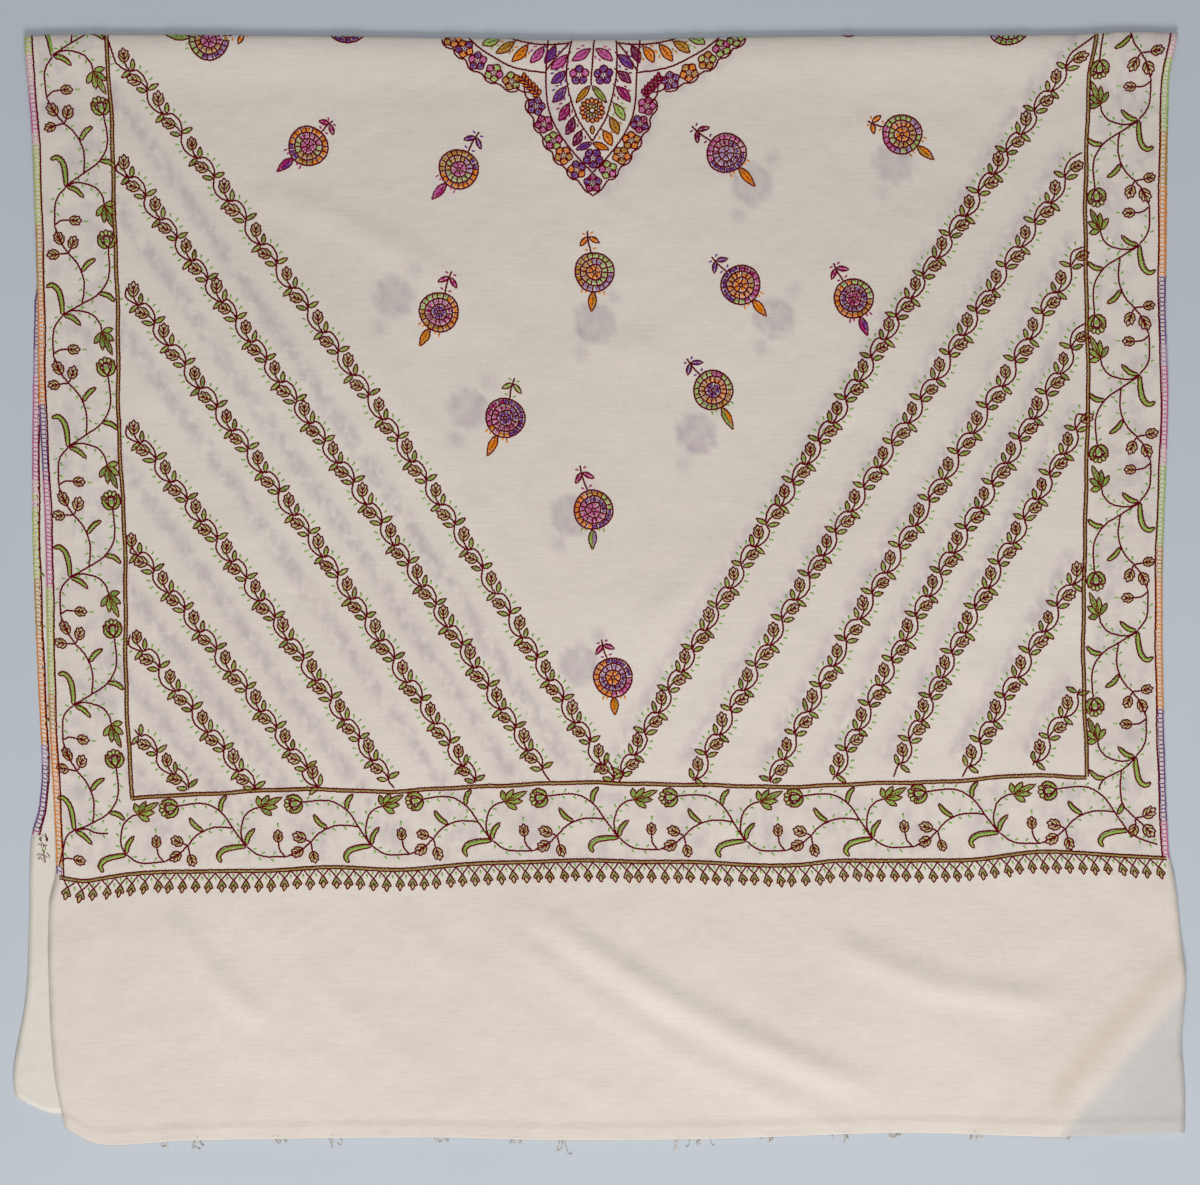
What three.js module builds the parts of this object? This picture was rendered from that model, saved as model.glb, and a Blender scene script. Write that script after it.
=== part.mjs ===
// An embroidered wool shawl, folded once across its middle and laid flat.
// Millimetres, +Z up. The fold lies along +Y, the plain hemmed end along -Y, and the origin is
// on the ground under the middle of the outline.
// Places on the cloth are given as it was woven: across from its middle line, down from the fold.
import * as THREE from 'three';

const { clamp, lerp, smoothstep } = THREE.MathUtils;

// Driving sizes
const CLOTH_WIDTH = 1020;
const HALF_LENGTH = 990;
const WALL = 1.2;
const GAP = 0.3;
const HEM_WIDTH = 13;
const HEM_RISE = 0.8;

// The soft roll of the fold: its outer radius, the lip that it runs on below, and its easing above
const ROLL_RADIUS = 2.6;
const ROLL_STEPS = 5;
const ROLL_LIP = 6;
const ROLL_EASE = 34;
const LAYERED = WALL + GAP;
const UNDER_START = ROLL_RADIUS + ROLL_LIP + GAP;

// Raised stitching, and how far the shape of the panel is felt for under it
const STITCH_HEIGHT = 0.9;
const STITCH_BEVEL = 0.6;
const FEEL = 4;

// Grid steps of the panels, coarse under the stitching and finer on the creased plain end
const ACROSS_STEP = 30;
const STITCHED_STEP = 46;
const PLAIN_STEP = 20;
const PLAIN_START = 765;
const UNDER_STEP = 90;
const UNDER_PLAIN_STEP = 25;
const RIBBON_STEP = 30;

// Long edges of the upper half: distance down from the fold, and X there
const UPPER_LEFT = [
  { down: 0, x: -516 },
  { down: 48, x: -513 },
  { down: 94, x: -509.5 },
  { down: 230, x: -505 },
  { down: 330, x: -503.5 },
  { down: 445, x: -498 },
  { down: 610, x: -494.5 },
  { down: 758, x: -488 },
  { down: 789, x: -494 },
  { down: 870, x: -494 },
  { down: 945, x: -489 },
  { down: 990, x: -480 },
];
const UPPER_RIGHT = [
  { down: 0, x: 520 },
  { down: 42, x: 512 },
  { down: 240, x: 509 },
  { down: 330, x: 511.5 },
  { down: 475, x: 506.5 },
  { down: 595, x: 507 },
  { down: 736, x: 512 },
  { down: 763, x: 517.5 },
  { down: 816, x: 523 },
  { down: 850, x: 526.5 },
  { down: 908, x: 524 },
  { down: 954, x: 527 },
  { down: 990, x: 526.5 },
];

// The fold and the hem: distance across the cloth, and Y there
const FOLD_LINE = [
  { across: -510, y: 496 },
  { across: -480, y: 497.2 },
  { across: -390, y: 497 },
  { across: -180, y: 495 },
  { across: -5, y: 492.4 },
  { across: 180, y: 495.8 },
  { across: 410, y: 497 },
  { across: 465, y: 499.7 },
  { across: 510, y: 498.5 },
];
const UPPER_HEM = [
  { across: -510, y: -485.3 },
  { across: -478, y: -499.7 },
  { across: -400, y: -496.5 },
  { across: -180, y: -493.8 },
  { across: -65, y: -496 },
  { across: 75, y: -495 },
  { across: 250, y: -489.7 },
  { across: 390, y: -492.4 },
  { across: 510, y: -490.3 },
];

// The under half slants out at the lower left, and its lower right corner is turned back
const UNDER_LEFT = [
  { down: 0, x: -513 },
  { down: 100, x: -506 },
  { down: 230, x: -505.5 },
  { down: 250, x: -508 },
  { down: 445, x: -510 },
  { down: 600, x: -505 },
  { down: 680, x: -501.5 },
  { down: 720, x: -504 },
  { down: 750, x: -511 },
  { down: 886, x: -514.5 },
  { down: 956, x: -525.5 },
  { down: 975, x: -527 },
  { down: 990, x: -525 },
];
const UNDER_RIGHT = [
  { down: 0, x: 519 },
  { down: 42, x: 513 },
  { down: 240, x: 510 },
  { down: 475, x: 505.5 },
  { down: 700, x: 509 },
  { down: 800, x: 514 },
  { down: 862, x: 512 },
  { down: 878, x: 502 },
  { down: 990, x: 418 },
];
const UNDER_HEM = [
  { across: -510, y: -457.4 },
  { across: -487, y: -469 },
  { across: -473, y: -472.6 },
  { across: -417, y: -472.6 },
  { across: -363, y: -478 },
  { across: -309, y: -486 },
  { across: 0, y: -489 },
  { across: 200, y: -484.5 },
  { across: 380, y: -485.5 },
  { across: 510, y: -479 },
];

// Where the corner of the under half is turned back: the ends of its fold, and the band it covers
const TURN_FOLD = { fromX: 419, fromY: -478, toX: 508, toY: -374 };
const TURN_BAND = [
  { x: 419, y: -476 },
  { x: 404, y: -478 },
  { x: 404, y: -441 },
  { x: 492, y: -350 },
  { x: 506, y: -375 },
];
const TURN_CENTRE = { x: 452, y: -423 };
const TURN_RISE = 3.4;
const TURN_REACH = 62;
// Past the turned corner the upper half sinks to the ground between these distances
const SINK_START = 32;
const SINK_END = 76;

// Soft creases, as seen from above: both ends, sideways bow, height and full width
const CREASES = [
  { fromX: -49, fromY: -284, toX: 240, toY: -437, bow: -13, height: 4.2, width: 62 },
  { fromX: -88, fromY: -295, toX: 226, toY: -461, bow: -16, height: 1.6, width: 56 },
  { fromX: -382, fromY: -290, toX: -305, toY: -380, bow: -7, height: 2.8, width: 56 },
  { fromX: -183, fromY: -285, toX: -130, toY: -348, bow: -3, height: 1.3, width: 50 },
  { fromX: -270, fromY: -335, toX: -165, toY: -432, bow: -5, height: 1.2, width: 50 },
  { fromX: 205, fromY: -314, toX: 420, toY: -369, bow: -12, height: 2.6, width: 60 },
  { fromX: 375, fromY: -338, toX: 420, toY: -308, bow: 0, height: 1.2, width: 50 },
  { fromX: -40, fromY: -438, toX: 12, toY: -458, bow: 0, height: 1.1, width: 50 },
  { fromX: -468, fromY: -300, toX: -466, toY: -470, bow: 0, height: 1.4, width: 50 },
  { fromX: -312, fromY: 358, toX: -140, toY: 280, bow: 6, height: 1.3, width: 90 },
  { fromX: -228, fromY: 232, toX: -62, toY: -30, bow: 10, height: 1.1, width: 96 },
  { fromX: 236, fromY: 200, toX: 40, toY: -48, bow: 8, height: 1.3, width: 96 },
  { fromX: -38, fromY: 216, toX: 62, toY: 214, bow: 0, height: 0.8, width: 80 },
];

// Embroidery on the upper half: the frame of the field and the end of the border
const FRAME_SIDE = 438;
const FRAME_END = [
  { across: -438, down: 683 },
  { across: -190, down: 678 },
  { across: -90, down: 671 },
  { across: 175, down: 676 },
  { across: 315, down: 672 },
  { across: 438, down: 667 },
];
const BORDER_END = [
  { across: -506, down: 761 },
  { across: -445, down: 750 },
  { across: -196, down: 748 },
  { across: -80, down: 740 },
  { across: 39, down: 740 },
  { across: 171, down: 747 },
  { across: 312, down: 744 },
  { across: 394, down: 735 },
  { across: 506, down: 743 },
];
const STITCH_START = 4;
const LINE_WIDTH = 4.5;
const EDGING_DEPTH = 22;
const BORDER_INSET = 4.6;

// Slanting vines, from the side of the frame to its end, with their sideways bow
const VINE_WIDTH = 15;
const LEFT_VINES = [
  { across: -428, down: 14, toAcross: -2, toDown: 656, bow: 12 },
  { across: -428, down: 122, toAcross: -59, toDown: 660, bow: 8 },
  { across: -428, down: 230, toAcross: -128, toDown: 663, bow: 6 },
  { across: -428, down: 353, toAcross: -203, toDown: 668, bow: 4 },
  { across: -428, down: 452, toAcross: -271, toDown: 667, bow: 3 },
  { across: -428, down: 543, toAcross: -330, toDown: 670, bow: 2 },
];
const RIGHT_VINES = [
  { across: 428, down: 14, toAcross: 19, toDown: 652, bow: -8 },
  { across: 428, down: 116, toAcross: 82, toDown: 660, bow: -6 },
  { across: 428, down: 204, toAcross: 153, toDown: 664, bow: -4 },
  { across: 428, down: 275, toAcross: 210, toDown: 663, bow: -3 },
  { across: 428, down: 356, toAcross: 266, toDown: 661, bow: -3 },
  { across: 428, down: 492, toAcross: 329, toDown: 660, bow: -2 },
];

// Round flowers of the field, by their centres, and their radius
const MOTIF_RADIUS = 18;
const MOTIF_SIDES = 12;
const MOTIFS = [
  { across: -262, down: 99 },
  { across: -127, down: 118 },
  { across: 114, down: 104 },
  { across: 272, down: 89 },
  { across: -6, down: 209 },
  { across: -147, down: 247 },
  { across: 126, down: 223 },
  { across: 228, down: 237 },
  { across: 99, down: 317 },
  { across: -89, down: 341 },
  { across: -10, down: 423 },
  { across: 7, down: 574 },
];

// The half medallion hangs from the fold: its middle, and the points between its lobes on one side
const MEDALLION_ACROSS = -7;
const MEDALLION_HEART = 46;
const MEDALLION_LOBE = 6;
const MEDALLION_RINGS = 5;
const MEDALLION_POINTS = [
  { side: 137, down: 4 },
  { side: 100, down: 40 },
  { side: 62, down: 50 },
  { side: 55, down: 84 },
  { side: 30, down: 115 },
  { side: 0, down: 138 },
];

// Finishes
const wool = new THREE.MeshStandardMaterial({ color: 0xded2c7, roughness: 0.92, metalness: 0 });
const woolBack = new THREE.MeshStandardMaterial({ color: 0xd5c8bb, roughness: 0.94, metalness: 0 });
const maroonThread = new THREE.MeshStandardMaterial({ color: 0x69192d, roughness: 0.7 });
const greenThread = new THREE.MeshStandardMaterial({ color: 0x82a04b, roughness: 0.7 });
const orangeThread = new THREE.MeshStandardMaterial({ color: 0xe0913a, roughness: 0.7 });

const shawl = new THREE.Group();

// A smooth curve through the rows of a table, from one named column to another
function follow(rows, from, to, at) {
  let i = 0;
  while (i < rows.length - 2 && at > rows[i + 1][from]) i += 1;
  const slope = (k) => {
    const before = rows[Math.max(k - 1, 0)];
    const after = rows[Math.min(k + 1, rows.length - 1)];
    return (after[to] - before[to]) / (after[from] - before[from]);
  };
  const span = rows[i + 1][from] - rows[i][from];
  const t = clamp((at - rows[i][from]) / span, 0, 1);
  const bend = span * t * (1 - t) * (slope(i) * (1 - t) - slope(i + 1) * t);
  return lerp(rows[i][to], rows[i + 1][to], t * t * (3 - 2 * t)) + bend;
}

// Where a point of the woven cloth lies, seen from above
function lay(layer, across, down) {
  const side = across / CLOTH_WIDTH + 0.5;
  const left = follow(layer.left, 'down', 'x', down);
  const right = follow(layer.right, 'down', 'x', down);
  const far = follow(FOLD_LINE, 'across', 'y', across);
  const near = follow(layer.hem, 'across', 'y', across);
  return { x: lerp(left, right, side), y: lerp(far, near, down / HALF_LENGTH) };
}

const upper = { left: UPPER_LEFT, right: UPPER_RIGHT, hem: UPPER_HEM };
const under = { left: UNDER_LEFT, right: UNDER_RIGHT, hem: UNDER_HEM };

// How far along a line a point lies, from 0 to 1, and how far to the left of it
function besideLine(line, x, y) {
  const dx = line.toX - line.fromX;
  const dy = line.toY - line.fromY;
  const length = Math.hypot(dx, dy);
  const along = ((x - line.fromX) * dx + (y - line.fromY) * dy) / length ** 2;
  const aside = ((y - line.fromY) * dx - (x - line.fromX) * dy) / length;
  return { along, aside };
}

// A soft hill, 1 in the middle and 0 at its edge
function hill(distance, halfWidth) {
  return Math.cos((Math.PI / 2) * clamp(distance / halfWidth, -1, 1)) ** 2;
}

function creaseHeight(x, y) {
  let height = 0;
  for (const crease of CREASES) {
    const { along, aside } = besideLine(crease, x, y);
    const inside = clamp(along, 0, 1);
    const middle = crease.bow * Math.sin(Math.PI * inside);
    const fade = smoothstep(along, -0.1, 0.15) * (1 - smoothstep(along, 0.85, 1.1));
    height += crease.height * fade * hill(aside - middle, crease.width / 2);
  }
  return height;
}

// Height of the upper half's lower face: it lies on the under half, and rises to the roll of the fold
function restHeight(across, down) {
  const { x, y } = lay(upper, across, down);
  const roll = 1 - smoothstep(down, ROLL_RADIUS, ROLL_EASE);
  const { aside } = besideLine(TURN_FOLD, x, y);
  const turned = TURN_RISE * hill(aside, TURN_REACH) * smoothstep(down, 790, 860);
  const sunk = smoothstep(-aside, SINK_START, SINK_END) * smoothstep(down, 820, 900);
  const lying = LAYERED * (1 - sunk) + turned + creaseHeight(x, y);
  return lerp(lying, 2 * ROLL_RADIUS - WALL, roll);
}

function hemRise(down) {
  return down >= HALF_LENGTH - HEM_WIDTH ? HEM_RISE : 0;
}

// Stations from one value to another, evenly spread and no further apart than the step
function stations(from, to, step) {
  const count = Math.ceil(Math.abs(to - from) / step);
  return Array.from({ length: count + 1 }, (_, i) => lerp(from, to, i / count));
}

// A closed solid from its corner points and the triangles between them
function addSolid(name, points, triangles, material) {
  const geometry = new THREE.BufferGeometry();
  geometry.setAttribute('position', new THREE.Float32BufferAttribute(points.flat(), 3));
  geometry.setIndex(triangles.flat());
  geometry.computeVertexNormals();
  const mesh = new THREE.Mesh(geometry, material);
  mesh.name = name;
  shawl.add(mesh);
}

// A closed wall between two grids of points, the face that shows and the face behind it
function addWall(name, face, back, material) {
  const rows = face.length;
  const columns = face[0].length;
  const points = [...face.flat(), ...back.flat()];
  const triangles = [];
  const front = (j, i) => j * columns + i;
  const behind = (j, i) => rows * columns + front(j, i);
  const quad = (a, b, c, d) => triangles.push([a, b, c], [a, c, d]);
  for (let j = 0; j < rows - 1; j += 1) {
    for (let i = 0; i < columns - 1; i += 1) {
      quad(front(j, i), front(j + 1, i), front(j + 1, i + 1), front(j, i + 1));
      triangles.push([behind(j, i), behind(j + 1, i + 1), behind(j + 1, i)]);
      triangles.push([behind(j, i), behind(j, i + 1), behind(j + 1, i + 1)]);
    }
    const last = columns - 1;
    quad(front(j + 1, 0), front(j, 0), behind(j, 0), behind(j + 1, 0));
    quad(front(j, last), front(j + 1, last), behind(j + 1, last), behind(j, last));
  }
  for (let i = 0; i < columns - 1; i += 1) {
    const end = rows - 1;
    quad(front(0, i), front(0, i + 1), behind(0, i + 1), behind(0, i));
    quad(front(end, i + 1), front(end, i), behind(end, i), behind(end, i + 1));
  }
  addSolid(name, points, triangles, material);
}

// Grid lines across both halves, and down the upper one, close at the cut corner, roll and hem
const HALF_WIDTH = CLOTH_WIDTH / 2;
const CORNER_CUT = 32;
const clothAcross = [
  -HALF_WIDTH,
  -HALF_WIDTH + CORNER_CUT / 2,
  ...stations(-HALF_WIDTH + CORNER_CUT, HALF_WIDTH, ACROSS_STEP),
];
const HEM_TOP = HALF_LENGTH - HEM_WIDTH;
const upperDown = [
  ...stations(ROLL_RADIUS, ROLL_EASE, 11),
  ...stations(ROLL_EASE, PLAIN_START, STITCHED_STEP).slice(1),
  ...stations(PLAIN_START, HEM_TOP - 1, PLAIN_STEP).slice(1),
  HEM_TOP,
  HALF_LENGTH,
];

// A point of the fold's roll and lip: how far it reaches past the roll's middle line, and its height
function rollPoint(across, radius, turn) {
  const { x, y } = lay(upper, across, 0);
  const reach = radius * Math.cos(turn);
  return [x, y - ROLL_RADIUS + reach, ROLL_RADIUS + radius * Math.sin(turn)];
}

function addUpperHalf() {
  const face = [];
  const back = [];
  const lip = (across, z) => {
    const { x, y } = lay(upper, across, 0);
    return [x, y - ROLL_RADIUS - ROLL_LIP, z];
  };
  face.push(clothAcross.map((across) => lip(across, 0)));
  back.push(clothAcross.map((across) => lip(across, WALL)));
  for (let k = 0; k < ROLL_STEPS; k += 1) {
    const turn = lerp(-Math.PI / 2, Math.PI / 2, k / ROLL_STEPS);
    face.push(clothAcross.map((across) => rollPoint(across, ROLL_RADIUS, turn)));
    back.push(clothAcross.map((across) => rollPoint(across, ROLL_RADIUS - WALL, turn)));
  }
  for (const down of upperDown) {
    const at = (across, above) => {
      const { x, y } = lay(upper, across, down);
      return [x, y, restHeight(across, down) + above];
    };
    face.push(clothAcross.map((across) => at(across, WALL + hemRise(down))));
    back.push(clothAcross.map((across) => at(across, 0)));
  }
  addWall('upper_half', face, back, wool);
}

function addUnderHalf() {
  const downLines = [
    ...stations(UNDER_START, PLAIN_START - UNDER_STEP, UNDER_STEP),
    ...stations(PLAIN_START - UNDER_STEP, HALF_LENGTH, UNDER_PLAIN_STEP).slice(1),
  ];
  const sheet = (z) => downLines.map((down) => clothAcross.map((across) => {
    const { x, y } = lay(under, across, down);
    return [x, y, z];
  }));
  addWall('under_half', sheet(WALL), sheet(0), woolBack);
}

// The corner that is turned back lies on the under half, as a second layer
function addTurnedCorner() {
  const ring = (z) => TURN_BAND.map((point) => [point.x, point.y, z]);
  const centre = (z) => [TURN_CENTRE.x, TURN_CENTRE.y, z];
  const bottom = LAYERED;
  const top = LAYERED + WALL;
  const sides = TURN_BAND.length;
  const points = [...ring(bottom), ...ring(top), centre(bottom), centre(top)];
  const triangles = [];
  for (let i = 0; i < sides; i += 1) {
    const next = (i + 1) % sides;
    triangles.push([next, i, sides + i], [next, sides + i, sides + next]);
    triangles.push([i, next, 2 * sides], [sides + next, sides + i, 2 * sides + 1]);
  }
  addSolid('turned_corner', points, triangles, woolBack);
}

// Height of the upper half's own facet at a place on the cloth
const facetHeights = upperDown.map((down) => clothAcross.map(
  (across) => restHeight(across, down) + WALL + hemRise(down),
));

function cellOf(lines, at) {
  let i = 0;
  while (i < lines.length - 2 && at > lines[i + 1]) i += 1;
  return { i, part: clamp((at - lines[i]) / (lines[i + 1] - lines[i]), 0, 1) };
}

function facetHeight(across, down) {
  const { i, part: u } = cellOf(clothAcross, across);
  const { i: j, part: v } = cellOf(upperDown, down);
  const near = facetHeights[j][i];
  const far = facetHeights[j + 1][i + 1];
  if (v >= u) {
    const side = facetHeights[j + 1][i];
    return near + v * (side - near) + u * (far - side);
  }
  const side = facetHeights[j][i + 1];
  return near + u * (side - near) + v * (far - side);
}

// Height just clear of the panel's facets all round a place
function clearHeight(across, down) {
  let height = 0;
  for (const a of [-FEEL, 0, FEEL]) {
    for (const d of [-FEEL, 0, FEEL]) {
      height = Math.max(height, facetHeight(across + a, Math.max(down + d, ROLL_RADIUS)));
    }
  }
  return height + GAP;
}

function stitchPoint(across, down, above) {
  const { x, y } = lay(upper, across, down);
  return [x, y, clearHeight(across, down) + above];
}

// The sideways direction of a route between two of its places
function sideways(from, to) {
  const length = Math.hypot(to.across - from.across, to.down - from.down);
  return { across: (from.down - to.down) / length, down: (to.across - from.across) / length };
}

// A low ribbon of stitching along a route of places on the cloth, mitred where it turns
function addRibbon(name, route, width, material) {
  const points = [];
  const triangles = [];
  route.forEach((place, k) => {
    const before = k > 0 ? sideways(route[k - 1], place) : sideways(place, route[k + 1]);
    const after = k < route.length - 1 ? sideways(place, route[k + 1]) : before;
    const mitre = 1 + before.across * after.across + before.down * after.down;
    const corner = (offset, above) => stitchPoint(
      place.across + ((before.across + after.across) / mitre) * offset,
      place.down + ((before.down + after.down) / mitre) * offset,
      above,
    );
    const half = width / 2;
    const inner = half - STITCH_BEVEL;
    points.push(corner(-half, 0), corner(half, 0));
    points.push(corner(inner, STITCH_HEIGHT), corner(-inner, STITCH_HEIGHT));
  });
  const last = 4 * (route.length - 1);
  for (let k = 0; k < last; k += 4) {
    for (let side = 0; side < 4; side += 1) {
      const next = (side + 1) % 4;
      triangles.push([k + next, k + side, k + 4 + side], [k + next, k + 4 + side, k + 4 + next]);
    }
  }
  triangles.push([0, 1, 2], [0, 2, 3]);
  triangles.push([last, last + 2, last + 1], [last, last + 3, last + 2]);
  addSolid(name, points, triangles, material);
}

// A low pad of stitching inside an outline that can be seen whole from its heart
function addPad(name, heart, outline, rings, material) {
  const points = [];
  const triangles = [];
  const sides = outline.length;
  for (let level = 0; level < 2; level += 1) {
    const above = level * STITCH_HEIGHT;
    for (let ring = rings; ring > 0; ring -= 1) {
      const shrink = ring / rings;
      outline.forEach((place) => points.push(stitchPoint(
        lerp(heart.across, place.across, shrink),
        lerp(heart.down, place.down, shrink),
        above,
      )));
    }
    points.push(stitchPoint(heart.across, heart.down, above));
  }
  const top = rings * sides + 1;
  for (let i = 0; i < sides; i += 1) {
    const next = (i + 1) % sides;
    triangles.push([i, next, top + next], [i, top + next, top + i]);
    for (let ring = 0; ring < rings - 1; ring += 1) {
      const outer = ring * sides;
      const inner = outer + sides;
      triangles.push([outer + next, outer + i, inner + i]);
      triangles.push([outer + next, inner + i, inner + next]);
      triangles.push([top + outer + i, top + outer + next, top + inner + next]);
      triangles.push([top + outer + i, top + inner + next, top + inner + i]);
    }
    const core = (rings - 1) * sides;
    triangles.push([core + next, core + i, rings * sides]);
    triangles.push([top + core + i, top + core + next, top + rings * sides]);
  }
  addSolid(name, points, triangles, material);
}

function addFrameLine() {
  const side = (across) => {
    const end = follow(FRAME_END, 'across', 'down', across);
    return stations(STITCH_START, end, RIBBON_STEP).map((down) => ({ across, down }));
  };
  const end = stations(-FRAME_SIDE, FRAME_SIDE, RIBBON_STEP).map((across) => ({
    across,
    down: follow(FRAME_END, 'across', 'down', across),
  }));
  const route = [...side(-FRAME_SIDE), ...end.slice(1, -1), ...side(FRAME_SIDE).reverse()];
  addRibbon('frame_line', route, LINE_WIDTH, maroonThread);
}

function addBorderEnd() {
  const width = LINE_WIDTH + EDGING_DEPTH;
  const reach = HALF_WIDTH - BORDER_INSET;
  const route = stations(-reach, reach, RIBBON_STEP).map((across) => ({
    across,
    down: follow(BORDER_END, 'across', 'down', across) + EDGING_DEPTH / 2,
  }));
  addRibbon('border_end', route, width, maroonThread);
}

function addVine(name, vine) {
  const length = Math.hypot(vine.toAcross - vine.across, vine.toDown - vine.down);
  const route = stations(0, length, RIBBON_STEP).map((at) => {
    const along = at / length;
    const bow = vine.bow * Math.sin(Math.PI * along);
    return {
      across: lerp(vine.across, vine.toAcross, along) + bow,
      down: lerp(vine.down, vine.toDown, along),
    };
  });
  addRibbon(name, route, VINE_WIDTH, greenThread);
}

function addMotif(name, motif) {
  const outline = Array.from({ length: MOTIF_SIDES }, (_, i) => {
    const turn = (i / MOTIF_SIDES) * 2 * Math.PI;
    return {
      across: motif.across + MOTIF_RADIUS * Math.cos(turn),
      down: motif.down - MOTIF_RADIUS * Math.sin(turn),
    };
  });
  addPad(name, motif, outline, 2, orangeThread);
}

// Lobed outline of the half medallion: an outward arc between each pair of points, on both sides
function medallionOutline() {
  const outline = [];
  for (const side of [1, -1]) {
    const points = side > 0 ? [...MEDALLION_POINTS].reverse() : MEDALLION_POINTS;
    for (let i = 0; i < points.length - 1; i += 1) {
      const from = points[i];
      const to = points[i + 1];
      const length = Math.hypot(to.side - from.side, to.down - from.down);
      for (let step = 0; step < 3; step += 1) {
        const along = step / 3;
        const bulge = (MEDALLION_LOBE * Math.sin(Math.PI * along)) / length;
        const out = Math.abs(to.down - from.down) * bulge;
        const lower = Math.abs(to.side - from.side) * bulge;
        outline.push({
          across: MEDALLION_ACROSS + side * (lerp(from.side, to.side, along) + out),
          down: lerp(from.down, to.down, along) + lower,
        });
      }
    }
    if (side > 0) {
      const corner = MEDALLION_POINTS[0];
      outline.push({ across: MEDALLION_ACROSS + corner.side, down: corner.down });
      outline.push({ across: MEDALLION_ACROSS, down: corner.down });
    }
  }
  return outline;
}

addUpperHalf();
addUnderHalf();
addTurnedCorner();
addFrameLine();
addBorderEnd();
LEFT_VINES.forEach((vine, i) => addVine(`vine_left_${i + 1}`, vine));
RIGHT_VINES.forEach((vine, i) => addVine(`vine_right_${i + 1}`, vine));
MOTIFS.forEach((motif, i) => addMotif(`motif_${String(i + 1).padStart(2, '0')}`, motif));
const medallionHeart = { across: MEDALLION_ACROSS, down: MEDALLION_HEART };
addPad('medallion', medallionHeart, medallionOutline(), MEDALLION_RINGS, maroonThread);

export default shawl;
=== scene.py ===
# The looks of an embroidered wool shawl, folded once across its middle and laid flat.
# Sizes are millimetres. Places on the cloth are as it was woven: across from its middle line,
# and down from the fold. They become metres only where a mesh is made.
import math
from collections import namedtuple

import bpy
import numpy as np
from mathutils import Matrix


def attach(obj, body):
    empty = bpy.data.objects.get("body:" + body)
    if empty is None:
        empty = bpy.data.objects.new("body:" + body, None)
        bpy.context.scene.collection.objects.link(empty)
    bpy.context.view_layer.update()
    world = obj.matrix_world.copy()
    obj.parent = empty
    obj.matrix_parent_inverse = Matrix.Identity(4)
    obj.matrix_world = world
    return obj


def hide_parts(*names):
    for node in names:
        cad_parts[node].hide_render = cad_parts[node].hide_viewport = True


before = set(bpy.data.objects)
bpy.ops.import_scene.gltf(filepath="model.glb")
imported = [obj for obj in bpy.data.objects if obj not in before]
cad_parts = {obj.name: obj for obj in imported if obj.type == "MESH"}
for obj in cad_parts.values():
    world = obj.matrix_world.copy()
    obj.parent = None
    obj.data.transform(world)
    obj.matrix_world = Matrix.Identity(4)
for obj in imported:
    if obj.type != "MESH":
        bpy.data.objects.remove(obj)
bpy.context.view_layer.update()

MM = 0.001
random = np.random.default_rng(7)

# Driving sizes of the cloth
CLOTH_WIDTH = 1020.0
HALF_LENGTH = 990.0
WALL = 1.2
CLOTH = 0.9
GAP = 0.3
LAYERED = WALL + GAP
HEM_WIDTH = 13.0
HEM_RISE = 0.8
HEM_SOFT = 1.6
ROLL_SPAN = 14.0
ROLL_HEIGHT = 3.6
ROLL_LIP = 3.0
ROLL_EASE = 52.0
UNDER_START = ROLL_SPAN + ROLL_LIP + GAP

# Long edges and hems, seen from above: distance down with its X, or across with its Y
UPPER_LEFT = [
    (0, -516), (48, -513), (94, -509.5), (230, -505), (330, -503.5), (445, -498),
    (610, -494.5), (758, -488), (789, -494), (870, -494), (945, -489), (990, -480),
]
UPPER_RIGHT = [
    (0, 520), (42, 512), (240, 509), (330, 511.5), (475, 506.5), (595, 507), (736, 512),
    (763, 517.5), (816, 523), (850, 526.5), (908, 524), (954, 527), (990, 526.5),
]
FOLD_LINE = [
    (-510, 496), (-480, 497.2), (-390, 497), (-180, 495), (-5, 492.4), (180, 495.8),
    (410, 497), (465, 499.7), (510, 498.5),
]
UPPER_HEM = [
    (-510, -485.3), (-478, -499.7), (-400, -496.5), (-180, -493.8), (-65, -496),
    (75, -495), (250, -489.7), (390, -492.4), (510, -490.3),
]
UNDER_LEFT = [
    (0, -513), (100, -506), (230, -505.5), (250, -508), (445, -510), (600, -505),
    (680, -501.5), (720, -504), (750, -511), (886, -514.5), (956, -525.5), (975, -527),
    (990, -525),
]
UNDER_RIGHT = [
    (0, 519), (42, 513), (240, 510), (475, 505.5), (700, 509), (800, 514), (862, 512),
    (878, 502), (990, 418),
]
UNDER_HEM = [
    (-510, -457.4), (-487, -469), (-473, -472.6), (-417, -472.6), (-363, -478),
    (-309, -486), (0, -489), (200, -484.5), (380, -485.5), (510, -479),
]
Sheet = namedtuple("Sheet", "left right hem")
UPPER = Sheet(UPPER_LEFT, UPPER_RIGHT, UPPER_HEM)
UNDER = Sheet(UNDER_LEFT, UNDER_RIGHT, UNDER_HEM)

# The corner of the under half that is turned back, and how it lifts the upper half
Line = namedtuple("Line", "from_x from_y to_x to_y bow height width")
TURN_FOLD = Line(419, -478, 508, -374, 0, 4.2, 68)
TURN_FLAP = 36.0
FLAP_LEFT = 409.0
FLAP_SHARE = 0.42
FLAP_FADE = 64
SINK_START = 8
SINK_END = 60

# How far down the cloth the turned corner begins to lift the upper half, and past it to let it sink
TURN_REACH = (790, 860)
SINK_REACH = (820, 900)

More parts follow.
